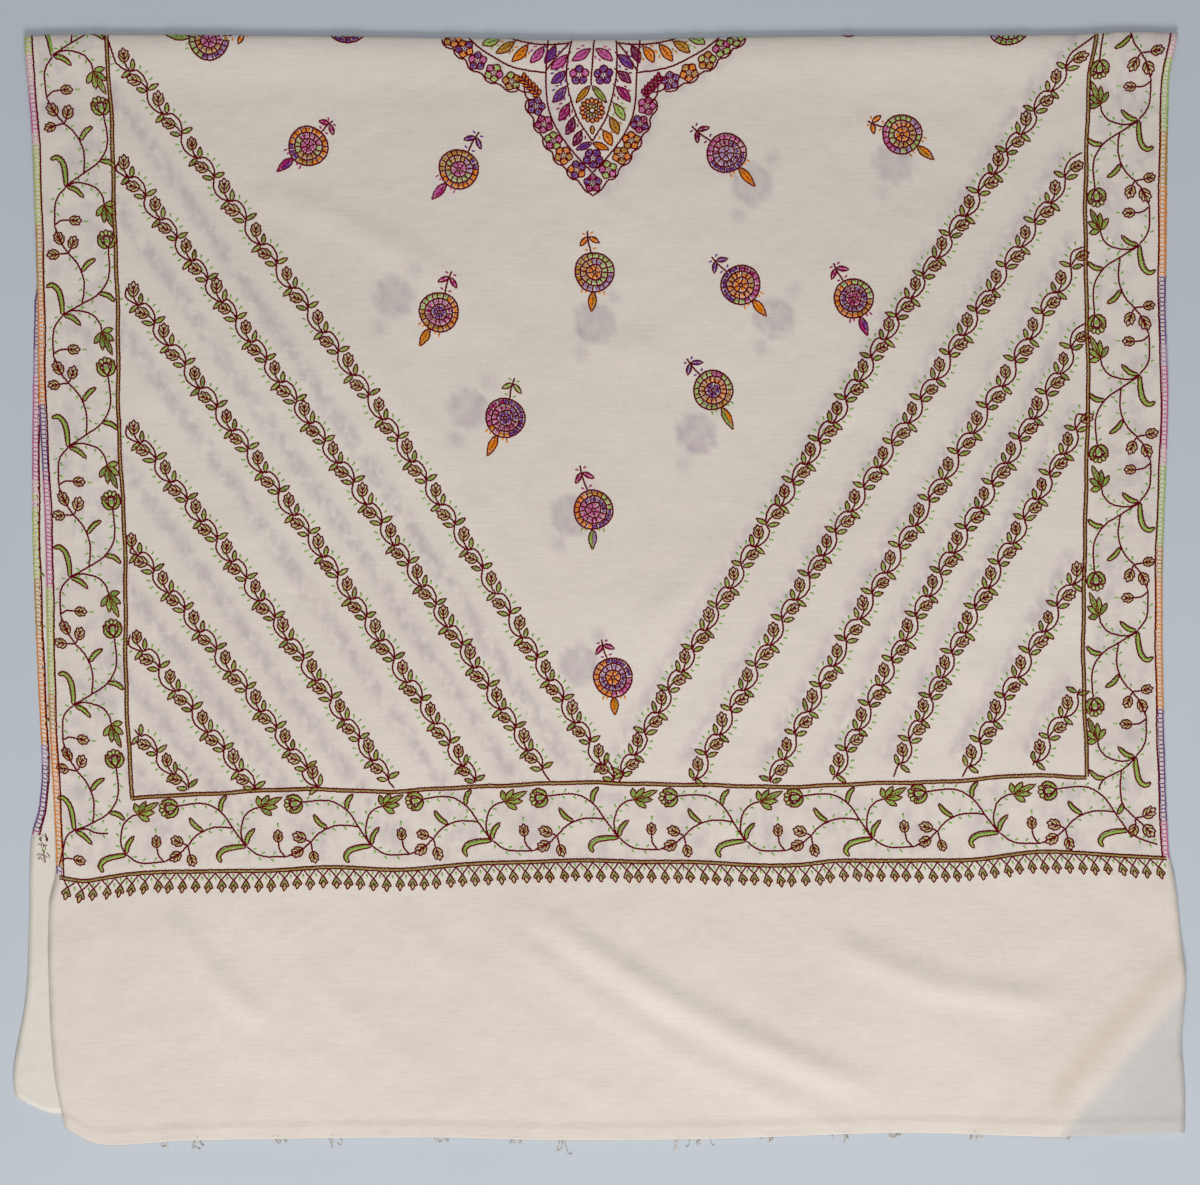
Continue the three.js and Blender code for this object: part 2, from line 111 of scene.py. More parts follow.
# Soft creases, as seen from above: both ends, sideways bow, height and full width
CREASES = [
    Line(-56, -293, 233, -447, -13, 3.9, 42),
    Line(-78, -318, 206, -477, -14, 1.4, 38),
    Line(-384, -296, -305, -388, -7, 3.1, 40),
    Line(-183, -285, -130, -348, -3, 1.0, 38),
    Line(-270, -335, -165, -432, -5, 1.0, 40),
    Line(210, -318, 410, -371, -14, 2.8, 42),
    Line(375, -338, 420, -308, 0, 1.0, 38),
    Line(-40, -438, 12, -458, 0, 0.9, 36),
    Line(-468, -300, -466, -470, 0, 1.4, 50),
    Line(-312, 358, -140, 280, 6, 1.8, 48),
    Line(-228, 232, -62, -30, 10, 1.5, 58),
    Line(236, 200, 40, -48, 8, 1.6, 58),
    Line(-38, 216, 62, 214, 0, 1.2, 50),
]

# Threads: how wide and how proud of the cloth they are sewn, and the length of one stitch
LINE_WIDTH = 1.85
LINE_RISE = 0.65
LINE_STRAY = 0.13
LINES_APART = 1.35
FILL_WIDTH = 1.5
FILL_RISE = 0.5
FILL_ROW = 1.3
TICK_WIDTH = 2.0
EDGE_WIDTH = LINE_WIDTH * 0.9
THIN_WIDTH = LINE_WIDTH * 0.8
RIB_WIDTH = LINE_WIDTH * 0.65
STITCH = 3.0
STEP = STITCH / 2

# A thread's section: how deep its feet sink in, and its width where a stitch dips, swells and ends
SUNK = 0.15
DIP = 0.76
SWELL = 1.04
TIP = 0.75

# How far past the fold's line the embroidery runs, down the far side of the roll
FOLD_END = -4.0

# Dyes of the threads (sRGB, 0 to 255), matched to the real ones by comparing render and photo
DYES = {
    "maroon": (108, 0, 12),
    "leaf green": (154, 184, 86),
    "deep green": (130, 160, 76),
    "tick green": (150, 196, 100),
    "bud green": (204, 200, 124),
    "olive": (168, 158, 84),
    "orange": (246, 146, 24),
    "ochre": (204, 150, 44),
    "purple": (112, 56, 146),
    "magenta": (178, 40, 118),
    "pink": (214, 100, 170),
    "lilac": (182, 144, 198),
    "pale green": (176, 210, 112),
    "yellow green": (200, 210, 100),
    "pale pink": (234, 186, 200),
    "plum": (130, 32, 90),
    "undyed": (226, 216, 204),
}
DYE_NAMES = list(DYES)

# Wool, matched in the same way: light and dark slubs of its face and of its wrong side, what the
# layers below make of the face, and a painted warm shade along the turned corner's flap
FACE_LIGHT = (240, 229, 218)
FACE_DARK = (224, 212, 200)
BACK_LIGHT = (238, 230, 219)
BACK_DARK = (223, 216, 205)
STITCHES_BELOW = (193, 179, 182)
SINGLE_LAYER = (205, 201, 198)
# Painted warm shade, in a band on the face along the turned corner's flap, inside its ridge
FLAP_RIDGE_SHADE = (224, 208, 193)

# The plain floor, its light and dark
FLOOR_LIGHT = (204, 211, 218)
FLOOR_DARK = (196, 203, 210)


# Curves and places on the cloth

def ease(value, start, end):
    part = np.clip((value - start) / (end - start), 0, 1)
    return part * part * (3 - 2 * part)


def hill(distance, half_width):
    return np.cos(np.pi / 2 * np.clip(distance / half_width, -1, 1)) ** 2


def follow(rows, at):
    """A smooth curve through the rows of a table."""
    places, values = np.array(rows, float).T
    slopes = np.empty(len(rows))
    slopes[1:-1] = (values[2:] - values[:-2]) / (places[2:] - places[:-2])
    slopes[0] = (values[1] - values[0]) / (places[1] - places[0])
    slopes[-1] = (values[-1] - values[-2]) / (places[-1] - places[-2])
    at = np.clip(np.asarray(at, float), places[0], places[-1])
    i = np.clip(np.searchsorted(places, at) - 1, 0, len(rows) - 2)
    span = places[i + 1] - places[i]
    t = (at - places[i]) / span
    bend = span * t * (1 - t) * (slopes[i] * (1 - t) - slopes[i + 1] * t)
    return values[i] + (values[i + 1] - values[i]) * t * t * (3 - 2 * t) + bend


def lay(sheet, across, down):
    """Where a place on the cloth lies, seen from above."""
    side = across / CLOTH_WIDTH + 0.5
    left = follow(sheet.left, down)
    right = follow(sheet.right, down)
    far = follow(FOLD_LINE, across)
    near = follow(sheet.hem, across)
    return left + (right - left) * side, far + (near - far) * down / HALF_LENGTH


def beside(line, x, y):
    """How far along a line a point lies, from 0 to 1, and how far to the left of it."""
    dx = line.to_x - line.from_x
    dy = line.to_y - line.from_y
    length = math.hypot(dx, dy)
    along = ((x - line.from_x) * dx + (y - line.from_y) * dy) / length ** 2
    aside = ((y - line.from_y) * dx - (x - line.from_x) * dy) / length
    return along, aside


def crease_height(x, y):
    height = np.zeros_like(x)
    for crease in CREASES:
        along, aside = beside(crease, x, y)
        middle = crease.bow * np.sin(np.pi * np.clip(along, 0, 1))
        fade = ease(along, -0.1, 0.15) * (1 - ease(along, 0.85, 1.1))
        height += crease.height * fade * hill(aside - middle, crease.width / 2)
    return height


# Slow ripples that run all ways over the cloth: their wavelengths and their height
RIPPLE_WAVES = [(random.uniform(38, 110), random.uniform(0, np.pi), random.uniform(0, 6.28))
                for _ in range(14)]
RIPPLE_HEIGHT = 0.07


def ripple_height(x, y):
    height = np.zeros_like(x)
    for wavelength, turn, start in RIPPLE_WAVES:
        along = x * np.cos(turn) + y * np.sin(turn)
        height += RIPPLE_HEIGHT * (1 + np.sin(2 * np.pi * along / wavelength + start))
    return height


def rest_height(down, x, y):
    """Height of the upper half's lower face."""
    roll = 1 - ease(down, ROLL_SPAN, ROLL_EASE)
    aside = beside(TURN_FOLD, x, y)[1]
    ridge = hill(aside, TURN_FOLD.width / 2)
    shelf = np.where(aside < 0, ridge, 1 - ease(aside, TURN_FLAP, FLAP_FADE))
    turned = TURN_FOLD.height * ((1 - FLAP_SHARE) * ridge + FLAP_SHARE * shelf)
    turned = turned * ease(down, *TURN_REACH)
    sunk = ease(-aside, SINK_START, SINK_END) * ease(down, *SINK_REACH)
    lying = LAYERED * (1 - sunk) + turned + crease_height(x, y) + ripple_height(x, y)
    return lying * (1 - roll) + (2 * ROLL_HEIGHT - WALL) * roll


def upper_point(across, down):
    """A point on the face of the upper half. Past the fold's line the cloth has turned under."""
    x, y = lay(UPPER, across, np.abs(down))
    hem_start = HALF_LENGTH - HEM_WIDTH
    hem = HEM_RISE * ease(down, hem_start - HEM_SOFT, hem_start + HEM_SOFT)
    inside = np.clip(1 - np.abs(down) / ROLL_SPAN, 0, 1)
    rolled = ROLL_HEIGHT * (1 + np.sign(down) * np.sqrt(1 - inside ** 2))
    z = np.where(down < ROLL_SPAN, rolled, rest_height(down, x, y) + WALL + hem)
    return np.stack([x, y, z], axis=-1)


# Loose fibres bend down past the hem, and this far past it they lie just above the ground
FIBRE_FALL = 7
FIBRE_LEVEL = 0.3


def hem_point(across, down):
    """A point on the hem, or on the ground just past it."""
    spots = upper_point(across, np.minimum(down, HALF_LENGTH))
    x, y = lay(UPPER, across, down)
    past = ease(down, HALF_LENGTH - 2, HALF_LENGTH + FIBRE_FALL)
    return np.stack([x, y, spots[:, 2] * (1 - past) + FIBRE_LEVEL * past], axis=-1)


def under_point(across, down):
    """A point on the face of the under half, which lies on the ground."""
    x, y = lay(UNDER, across, down)
    return np.stack([x, y, np.full_like(x, CLOTH)], axis=-1)


def smooth(points, per_span=6):
    """A smooth line through a few points."""
    points = np.asarray(points, float)
    points = np.vstack([2 * points[0] - points[1], points, 2 * points[-1] - points[-2]])
    line = []
    for k in range(1, len(points) - 2):
        before, a, b, after = points[k - 1:k + 3]
        for t in np.linspace(0, 1, per_span, endpoint=False):
            line.append(0.5 * (2 * a + (b - before) * t
                               + (2 * before - 5 * a + 4 * b - after) * t * t
                               + (3 * a - before - 3 * b + after) * t ** 3))
    line.append(points[-2])
    return np.array(line)


def evenly(route, step):
    """The same route with points a step apart, and their distances along it."""
    route = np.asarray(route, float)
    lengths = np.hypot(*np.diff(route, axis=0).T)
    at = np.concatenate([[0], np.cumsum(lengths)])
    count = max(math.ceil(at[-1] / step), 1) + 1
    even = np.linspace(0, at[-1], count)
    columns = [np.interp(even, at, route[:, 0]), np.interp(even, at, route[:, 1])]
    return np.column_stack(columns), even


class Place:
    """A small frame on the cloth: where a motif starts, the way it runs, and its far side."""

    def __init__(self, origin, heading, flip=1, stretch=1.0):
        self.origin = np.array(origin, float)
        self.along = np.array(heading, float) / np.hypot(*heading)
        self.aside = flip * np.array([self.along[1], -self.along[0]])
        self.stretch = stretch

    def __call__(self, points):
        points = np.atleast_2d(np.asarray(points, float))
        return (self.origin + points[:, :1] * self.stretch * self.along
                + points[:, 1:] * self.aside)


# Meshes

def new_piece(name, points, faces, uvs, material):
    """A piece from points in millimetres. The map has a place for each corner of each face."""
    mesh = bpy.data.meshes.new(name)
    corners = np.concatenate([np.asarray(f).ravel() for f in faces]).astype(np.int32)
    sizes = np.concatenate([np.full(len(f), np.asarray(f).shape[1]) for f in faces])
    starts = np.concatenate([[0], np.cumsum(sizes)[:-1]]).astype(np.int32)
    mesh.vertices.add(len(points))
    mesh.vertices.foreach_set("co", (np.asarray(points) * MM).astype(np.float32).ravel())
    mesh.loops.add(len(corners))
    mesh.loops.foreach_set("vertex_index", corners)
    mesh.polygons.add(len(sizes))
    mesh.polygons.foreach_set("loop_start", starts)
    mesh.polygons.foreach_set("use_smooth", np.full(len(sizes), True))
    layer = mesh.uv_layers.new(name="OFBake")
    layer.data.foreach_set("uv", np.concatenate(uvs).astype(np.float32).ravel())
    mesh.update(calc_edges=True)
    mesh.validate()
    mesh.materials.append(material)
    piece = bpy.data.objects.new(name, mesh)
    bpy.context.scene.collection.objects.link(piece)
    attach(piece, "root")
    return piece


# Where a shell lies on its map: the size and the first corner of both faces, and its rim
MAP_SIZE = (0.46, 0.96)
MAP_FACE = (0.01, 0.02)
MAP_BACK = (0.53, 0.02)
MAP_RIM_FACE = 0.492
MAP_RIM_BACK = 0.508


def shell(name, face, back, material):
    """A thin wall between two grids of points: the face that shows and the face behind it."""
    rows, columns = face.shape[:2]
    points = np.concatenate([face.reshape(-1, 3), back.reshape(-1, 3)])
    index = np.arange(rows * columns).reshape(rows, columns)
    behind = index + rows * columns
    front = np.stack([index[:-1, :-1], index[1:, :-1], index[1:, 1:], index[:-1, 1:]], -1)
    rear = np.stack([behind[:-1, :-1], behind[:-1, 1:], behind[1:, 1:], behind[1:, :-1]], -1)
    rim = np.concatenate([index[0, ::-1], index[1:, 0], index[-1, 1:], index[-2:0:-1, -1]])
    ring = np.roll(rim, -1)
    side = np.stack([ring, rim, rim + rows * columns, ring + rows * columns], -1)
    v, u = np.meshgrid(np.linspace(0, 1, rows), np.linspace(0, 1, columns), indexing="ij")
    flat = np.stack([u, 1 - v], -1).reshape(-1, 2)
    front_uv = flat[front.reshape(-1)] * MAP_SIZE + MAP_FACE
    rear_uv = flat[rear.reshape(-1) - rows * columns] * MAP_SIZE + MAP_BACK
    here = np.arange(len(rim)) / len(rim)
    after = here + 1 / len(rim)
    corners = ((MAP_RIM_FACE, after), (MAP_RIM_FACE, here),
               (MAP_RIM_BACK, here), (MAP_RIM_BACK, after))
    side_uv = np.stack([np.stack([np.full_like(at, line), at], -1) for line, at in corners], 1)
    faces = [front.reshape(-1, 4), rear.reshape(-1, 4), side]
    uvs = [front_uv, rear_uv, side_uv.reshape(-1, 2)]
    return new_piece(name, points, faces, uvs, material)


class Embroidery:
    """Stitches for one piece, gathered as routes on the cloth and then made as one mesh."""

    def __init__(self, name, slot, surface=upper_point):
        self.name = name
        self.slot = slot
        self.surface = surface
        self.routes = []

    def sew(self, route, dye, width=LINE_WIDTH, rise=LINE_RISE, step=STEP, closed=False):
        """One thread along a route. What would lie past the fold is left out."""
        route = np.asarray(route, float)
        if closed:
            route = np.vstack([route, route[:1]])
        points, along = evenly(route, step)
        seen = points[:, 1] > FOLD_END
        if seen.sum() < 2:
            return
        if not seen.all():
            first = int(np.argmax(seen))
            last = first + int(np.argmin(np.append(seen[first:], False)))
            points, along = points[first:last], along[first:last]
            if len(points) < 2:
                return
        self.routes.append((points, along, DYE_NAMES.index(dye), random.random(), width, rise))

    def make(self, material):
        """All the routes as one mesh of threads."""
        places, alongs, dyes, shades, widths, rises = zip(*self.routes)
        counts = np.array([len(place) for place in places])
        dye, shade, width, rise = (np.repeat(v, counts) for v in (dyes, shades, widths, rises))
        ends = np.cumsum(counts) - 1
        starts = ends - counts + 1
        points = thread_points(self.surface, np.concatenate(places), np.repeat(starts, counts),
                               np.repeat(ends, counts), width, rise)
        uv = thread_map(np.concatenate(alongs), dye, shade)
        faces = thread_faces(starts, ends)
        uvs = [uv[part.ravel()] for part in faces]
        return new_piece(self.name, points, faces, uvs, material)


def thread_points(surface, place, start, end, width, rise):
    """Three points at each step of the threads: the right foot, the crown and the left foot."""
    number = np.arange(len(place))
    before = np.maximum(number - 1, start)
    after = np.minimum(number + 1, end)
    across, down = place.T
    base = surface(across, down)
    right = surface(across + 1, down) - base
    nearer = surface(across, down + 1) - base
    up = np.cross(nearer, right)
    up /= np.linalg.norm(up, axis=1, keepdims=True)
    side = np.cross(up, base[after] - base[before])
    side /= np.maximum(np.linalg.norm(side, axis=1, keepdims=True), 1e-9)
    swell = np.where((number - start) % 2 == 1, DIP, SWELL)
    tip = np.where((before == number) | (after == number), TIP, 1.0)
    crown = (rise * tip * swell)[:, None]
    half = (0.5 * width * swell * tip)[:, None] * (crown + SUNK) / crown
    base = base + side * random.normal(0, LINE_STRAY, (len(place), 1))
    return np.stack([base + side * half - up * SUNK, base + up * crown,
                     base - side * half - up * SUNK], 1).reshape(-1, 3)


def thread_faces(starts, ends):
    """Three long faces between each step and the next, and a cap on both ends of each thread."""
    number = np.setdiff1d(np.arange(ends[-1] + 1), ends)
    a, b = 3 * number, 3 * (number + 1)
    left = np.stack([a, a + 1, b + 1, b], 1)
    right = np.stack([a + 2, b + 2, b + 1, a + 1], 1)
    bottom = np.stack([a, b, b + 2, a + 2], 1)
    first, last = 3 * starts, 3 * ends
    caps = np.concatenate([np.stack([first, first + 2, first + 1], 1),
                           np.stack([last, last + 1, last + 2], 1)])
    return [np.concatenate([left, right, bottom]), caps]


# The threads' map: how much of a dye's row a thread takes up, and how far its shade moves it
MAP_MARGIN = 0.02
MAP_SPREAD = 0.05
SHADE_LOW = 0.15
SHADE_SPAN = 0.7


def thread_map(along, dye, shade):
    """Each point's place on the map: back and forth along its stitches, in the row of its dye."""
    back_and_forth = 4 * STITCH
    u = MAP_MARGIN + (1 - 2 * MAP_MARGIN) * np.abs((along / back_and_forth + shade) % 2 - 1)
    v = dye + SHADE_LOW + SHADE_SPAN * shade
    spread = np.array([-MAP_SPREAD, 0, MAP_SPREAD])
    return np.stack([np.repeat(u, 3), ((v[:, None] + spread) / len(DYES)).ravel()], 1)


# Small shapes of the embroidery, each drawn with an outline thread and filling threads

def leaf_edge(base, tip, width, fullest=0.45, bend=0.0):
    """A pointed outline from base to tip, its middle line, its half width and its sideways."""
    base, tip = np.asarray(base, float), np.asarray(tip, float)
    length = np.hypot(*(tip - base))
    along = (tip - base) / length
    aside = np.array([along[1], -along[0]])
    t = np.linspace(0, 1, 9)
    swell = np.sin(np.pi * t ** (math.log(0.5) / math.log(fullest))) * width / 2
    middle = base + t[:, None] * length * along + (bend * np.sin(np.pi * t))[:, None] * aside
    edge = np.vstack([middle + swell[:, None] * aside,
                      (middle - swell[:, None] * aside)[-2:0:-1]])
    return edge, middle, swell, aside


def fill_leaf(fills, middle, swell, aside, dye, second=None):
    """Long stitches side by side, each as long as the leaf is there."""
    inner = swell.max() - LINE_WIDTH * 0.25
    rows = max(round(2 * inner / FILL_ROW), 1)
    for row in range(rows):
        off = (row + 0.5 - rows / 2) * 2 * inner / rows
        inside = swell > abs(off) - 0.1
        if inside.sum() > 1:
            fills.sew(middle[inside] + off * aside, second if second and off > 0 else dye,
                      FILL_WIDTH, FILL_RISE, step=2.4)


def leaf(lines, fills, base, tip, width, dye, second=None, bend=0.0, rib=False, fullest=0.45):
    """A leaf or petal: an outline with long stitches inside it."""
    edge, middle, swell, aside = leaf_edge(base, tip, width, fullest, bend)
    lines.sew(edge, "maroon", EDGE_WIDTH, closed=True)
    fill_leaf(fills, middle, swell, aside, dye, second)
    if rib:
        lines.sew(middle[1:-2], "maroon", RIB_WIDTH)


def strap_leaf(lines, fills, points, width, dye):
    """A long bent leaf along a curve."""
    middle = smooth(points, per_span=4)
    heading = np.gradient(middle, axis=0)
    heading /= np.linalg.norm(heading, axis=1, keepdims=True)
    aside = np.stack([heading[:, 1], -heading[:, 0]], 1)
    t = np.linspace(0, 1, len(middle))
    swell = (width / 2 * np.sin(np.pi * np.clip(t * 0.85 + 0.1, 0, 1)) ** 0.6)[:, None]
    swell[0] = swell[-1] = 0
    edge = np.vstack([middle + swell * aside, (middle - swell * aside)[-2:0:-1]])
    lines.sew(edge, "maroon", EDGE_WIDTH, closed=True)
    fills.sew(middle[1:-1], dye, max(width - LINE_WIDTH * 0.7, 1.4), FILL_RISE, step=2)


# A bud like a small cone, in shares of its length: half its edge, the veins on one side of its
# middle line and the stitches between them (along, aside)
BUD_EDGE = [(0.0, 0.0), (0.08, 0.19), (0.26, 0.33), (0.5, 0.41), (0.56, 0.3), (0.66, 0.34),
            (0.86, 0.31), (0.82, 0.17), (1.06, 0.0)]
BUD_VEINS = [[(0.2, 0.02), (0.36, 0.12), (0.56, 0.3)], [(0.46, 0.02), (0.64, 0.08), (0.82, 0.18)]]
BUD_SPINE = [(0.0, 0.0), (0.3, 0.01), (0.74, 0.0)]
BUD_STITCHES = [[(0.12, 0.12), (0.42, 0.27)], [(0.36, 0.1), (0.66, 0.26)],
                [(0.6, 0.07), (0.86, 0.1)]]


def bud(lines, fills, base, tip, dye="bud green"):
    base, tip = np.asarray(base, float), np.asarray(tip, float)
    length = np.hypot(*(tip - base))
    cone = Place(base, tip - base)
    edge = np.array(BUD_EDGE) * length
    whole = np.vstack([edge, edge[-2:0:-1] * (1, -1)])
    lines.sew(cone(whole), "maroon", LINE_WIDTH * 0.92, step=1.2, closed=True)
    lines.sew(cone(np.array(BUD_SPINE) * length), "maroon", THIN_WIDTH)
    for side in (-1, 1):
        for vein in BUD_VEINS:
            lines.sew(cone(np.array(vein) * (length, side * length)), "maroon", EDGE_WIDTH)
        for stitch in BUD_STITCHES:
            fills.sew(cone(np.array(stitch) * (length, side * length)), dye, 1.7, FILL_RISE)


def tick(fills, start, heading, length=3.6, dye="tick green"):
    start = np.asarray(start, float)
    heading = np.asarray(heading, float) / np.hypot(*heading)
    fills.sew(np.array([start, start + heading * length]), dye, TICK_WIDTH, FILL_RISE, step=2.1)


STEM_TICK = 3.2
STEM_CLEAR = 1.9


def ticks_along(fills, line, spacing, start):
    """Pairs of short stitches that slant off both sides of a stem."""
    points, along = evenly(line, 1.0)
    at = start
    while at < along[-1] - 3:
        k = min(int(at), len(points) - 2)
        heading = points[k + 1] - points[k]
        heading /= np.hypot(*heading)
        aside = np.array([heading[1], -heading[0]])
        for side in (-1, 1):
            away = aside * side
            foot = points[k] + away * STEM_CLEAR + heading * side
            tick(fills, foot, away + 0.9 * heading, STEM_TICK)
        at += spacing


# Slanting vines: from the side of the frame to its end, with their sideways bow
Vine = namedtuple("Vine", "across down to_across to_down bow first side pitch")
LEFT_VINES = [
    Vine(-436, 6, 5, 667, 12, 32.4, 1, 46.7), Vine(-433, 114, -54, 667, 8, 17.0, 1, 44.2),
    Vine(-429, 226, -122, 670, 6, 19.2, 1, 45.5), Vine(-431, 349, -197, 676, 4, 19.6, 1, 44.3),
    Vine(-431, 457, -265, 675, 3, 9.5, 1, 44.5), Vine(-434, 536, -324, 678, 2, 19.0, 1, 45.8),
    Vine(-432, 621, -385, 676, 0, 7.9, 1, 45.0),
]
RIGHT_VINES = [
    Vine(436, 3, 9, 668, -8, 33.8, -1, 44.4), Vine(434, 107, 77, 668, -6, 26.5, -1, 47.6),
    Vine(436, 192, 148, 672, -4, 20.9, -1, 48.5), Vine(437, 261, 205, 671, -3, 25.4, -1, 46.0),
    Vine(435, 343, 261, 669, -3, 15.6, -1, 45.6), Vine(438, 477, 324, 668, -2, 21.1, 1, 47.8),
    Vine(434, 589, 389, 657, 0, 5.0, -1, 48.0),
]
SHORT_STEP = 0.47

# How far past the frame a vine's last node may fall, and how near its start one is too close to
# have a bud before it
LAST_NODE_SLACK = 6
BUD_ROOM = 8
SWAY = (0.9, 1.12)
LEAF_GREEN_SHARE = 0.75
TIP_STRAY = 0.5

# One node of a vine, before it: the stem's swing, bud, leaves and ticks (along, aside)
STEM_SWING = [(-19.6, -4.3), (-13.3, -6.1), (-6.0, -4.6)]
BUD_STALK = [(-1.5, -0.8), (-5.5, -1.2), (-9.6, -0.2)]
BUD_ENDS = [(-9.4, -0.2), (-19.2, 6.8)]
NEAR_LEAF = [(-0.2, 1.0), (-7.6, 7.9)]
FAR_LEAF = [(-0.8, -1.2), (0.4, -12.0)]
LEAF_WIDTH = 3.9
OUTER_TICKS = [((-18.6, -7.3), (-0.8, -0.6)), ((-13.2, -8.6), (-0.3, -1.0)),
               ((-6.8, -7.8), (-0.1, -1.0))]
INNER_TICK = ((-12.6, -2.2), (1.0, 0.1))


def vine_bud(lines, fills, local):
    """The bud before a node of a vine, on its stalk, with the ticks round it."""
    lines.sew(smooth(local(BUD_STALK)), "maroon")
    base, tip = local(BUD_ENDS)
    bud(lines, fills, base, tip + random.normal(0, TIP_STRAY, 2))
    for spot, heading in OUTER_TICKS:
        from_, to = local([spot, np.add(spot, heading)])
        tick(fills, from_, to - from_, random.uniform(3.0, 4.0))
    spot, heading = INNER_TICK
    from_, to = local([spot, np.add(spot, heading)])
    tick(fills, from_, to - from_, 4.0, "deep green")


def vine_leaves(lines, fills, local):
    """The near and the far leaf of a node."""
    for ends in (NEAR_LEAF, FAR_LEAF):
        base, tip = local(ends)
        tip = tip + random.normal(0, TIP_STRAY, 2)
        dye = "leaf green" if random.random() < LEAF_GREEN_SHARE else "deep green"
        leaf(lines, fills, base, tip, LEAF_WIDTH, dye)


def vine(lines, fills, row, flip):
    """A vine: a winding stem with a bud in each hollow and two leaves at each crossing."""
    start = np.array([row.across, row.down], float)
    run = np.array([row.to_across, row.to_down], float) - start
    length = np.hypot(*run)
    straight = Place(start, run, flip)

    def bowed(points):
        points = np.atleast_2d(np.asarray(points, float))
        placed = straight(points)
        placed[:, 0] += row.bow * np.sin(np.pi * np.clip(points[:, 0] / length, 0, 1))
        return placed

    stem = [(0.0, 0.0)]
    at, side = row.first, row.side
    while at < length + LAST_NODE_SLACK:
        at = min(at, length - 1)
        sway = random.uniform(*SWAY)

        def local(points, at=at, side=side):
            return bowed(np.atleast_2d(points) * (1, side) + (at, 0))

        if at > BUD_ROOM:
            stem += [(at + s, side * n * sway) for s, n in STEM_SWING if at + s > 2]
            vine_bud(lines, fills, local)
        stem.append((at, random.uniform(-0.6, 0.6)))
        vine_leaves(lines, fills, local)
        at += row.pitch * (SHORT_STEP if side > 0 else 1 - SHORT_STEP) + random.uniform(-0.8, 0.8)
        side = -side
    stem.append((length, 0.0))
    lines.sew(bowed(smooth(stem)), "maroon")


def sew_left_vines(lines, fills):
    for row in LEFT_VINES:
        vine(lines, fills, row, 1)


def sew_right_vines(lines, fills):
    for row in RIGHT_VINES:
        vine(lines, fills, row, -1)


# One unit of the border vine: along the border, and towards the field from the vine's node
UNIT = 117.0
FIELD_LINE = 49.0
HOOK_WIDTH = 4.6
STRAP_WIDTH = 4.0
FAN_WIDTH = 4.9
FAN_STEM = [(0, 0.5), (-3.4, 9), (-2.6, 18), (0.8, 27.0), (8.0, 32.8), (15.0, 34.6)]
MAIN_STEM = [(54.0, 39.0), (74.2, 40.6), (86.4, 38.2), (97.9, 29.8), (106.3, 16.8),
             (113.5, 5.6), (117, 0)]
LOWER_STEM = [(1.5, -0.4), (9.9, -6.9), (19.1, -9.6), (38.2, -9.7)]
BRANCH = [(61.2, 3.1), (68.5, 10.5), (77.2, 15.3), (86.4, 17.9), (96.3, 18), (106, 16.8)]
STALKS = [
    [(36.7, -9.5), (32.1, -3.8), (30.9, 3.6)], [(61.2, 3.1), (56.5, 5.6)],
    [(61.2, 3.1), (57.6, 0.6), (53.8, -2.6), (38.2, -9.7)], [(61.2, 3.1), (62.6, -5.2)],
]
BORDER_BUDS = [((30.9, 3.4), (31.0, 14.2)), ((56.8, 5.4), (45.4, 9.4)),
               ((53.6, -3.0), (42.6, -8.8)), ((62.5, -5.0), (65.4, -15.4))]
FAN_BASE = (15.4, 34.6)
FAN_TIPS = [(13.6, 44.8), (24.5, 45.6), (36.6, 43.6), (32.0, 35.0), (26.4, 27.6)]
HOOK_LEAF = [(1.0, -0.4), (-9.2, -0.8), (-20.2, -3.2), (-25.3, -8.8), (-22.6, -14.6)]
SHORT_LEAF = [(1.0, 0.6), (3.0, 8.6), (9.9, 16.0)]
BRANCH_LEAF = [(77.2, 15.5), (69.2, 21.2), (64.9, 28.2)]
STEM_LEAF = [(95.8, 31.4), (97.4, 40.0), (103.0, 46.2)]
FLOWER_ENDS = [(55.2, 38.8), (37.0, 36.0)]

# The border's flower, from its stem to its top, with its two long petals and its small ones
LONG_PETAL = [(0.6, 0.6), (3.4, 4.6), (7.6, 6.8), (11.8, 5.9)]
LONG_PETAL_WIDTH = 3.9
HEART_EDGE_HALF = [(1.4, 0.0), (4.6, 2.3), (7.8, 3.0), (10.2, 2.1), (11.0, 0.0)]
HEART_MIDDLE = (7.6, 0.0)
SMALL_PETALS = 5
SMALL_PETAL_WIDTH = 4.1
PETAL_FAN = 62


def border_flower(lines, fills, place):
    """An open flower: a heart shaped like a drop, two long petals and a fan of small ones."""
    base, top = place(FLOWER_ENDS)
    bloom = Place(base, top - base, 1, random.uniform(1.0, 1.08))
    drop = np.array(HEART_EDGE_HALF)
    drop = np.vstack([drop, drop[-2:0:-1] * (1, -1)])
    lines.sew(bloom(drop), "maroon", THIN_WIDTH, closed=True)
    for off in (-1.5, 0, 1.5):
        fills.sew(bloom([(4.6 - abs(off) / 3, off), (9.6 - abs(off) / 2, off)]), "leaf green", 1.7,
                  FILL_RISE)
    for side in (1, -1):
        petal = bloom(np.array(LONG_PETAL) * (1, side))
        strap_leaf(lines, fills, petal, LONG_PETAL_WIDTH, "leaf green")
    for k in range(SMALL_PETALS):
        turn = math.radians(PETAL_FAN * (2 * k / (SMALL_PETALS - 1) - 1))
        out = np.array([math.cos(turn), math.sin(turn)])
        reach = random.uniform(8.6, 9.6)
        near, far = bloom([out * 3.4 + HEART_MIDDLE, out * reach + HEART_MIDDLE])
        leaf(lines, fills, near, far, SMALL_PETAL_WIDTH, "pale green", fullest=0.62)


def fan_flower(lines, fills, place):
    for k, tip in enumerate(FAN_TIPS):
        from_, to = place([FAN_BASE, tip])
        dye = "leaf green" if random.random() < 0.7 else "deep green"
        leaf(lines, fills, from_, to, FAN_WIDTH, dye, rib=k == 2, fullest=0.55)


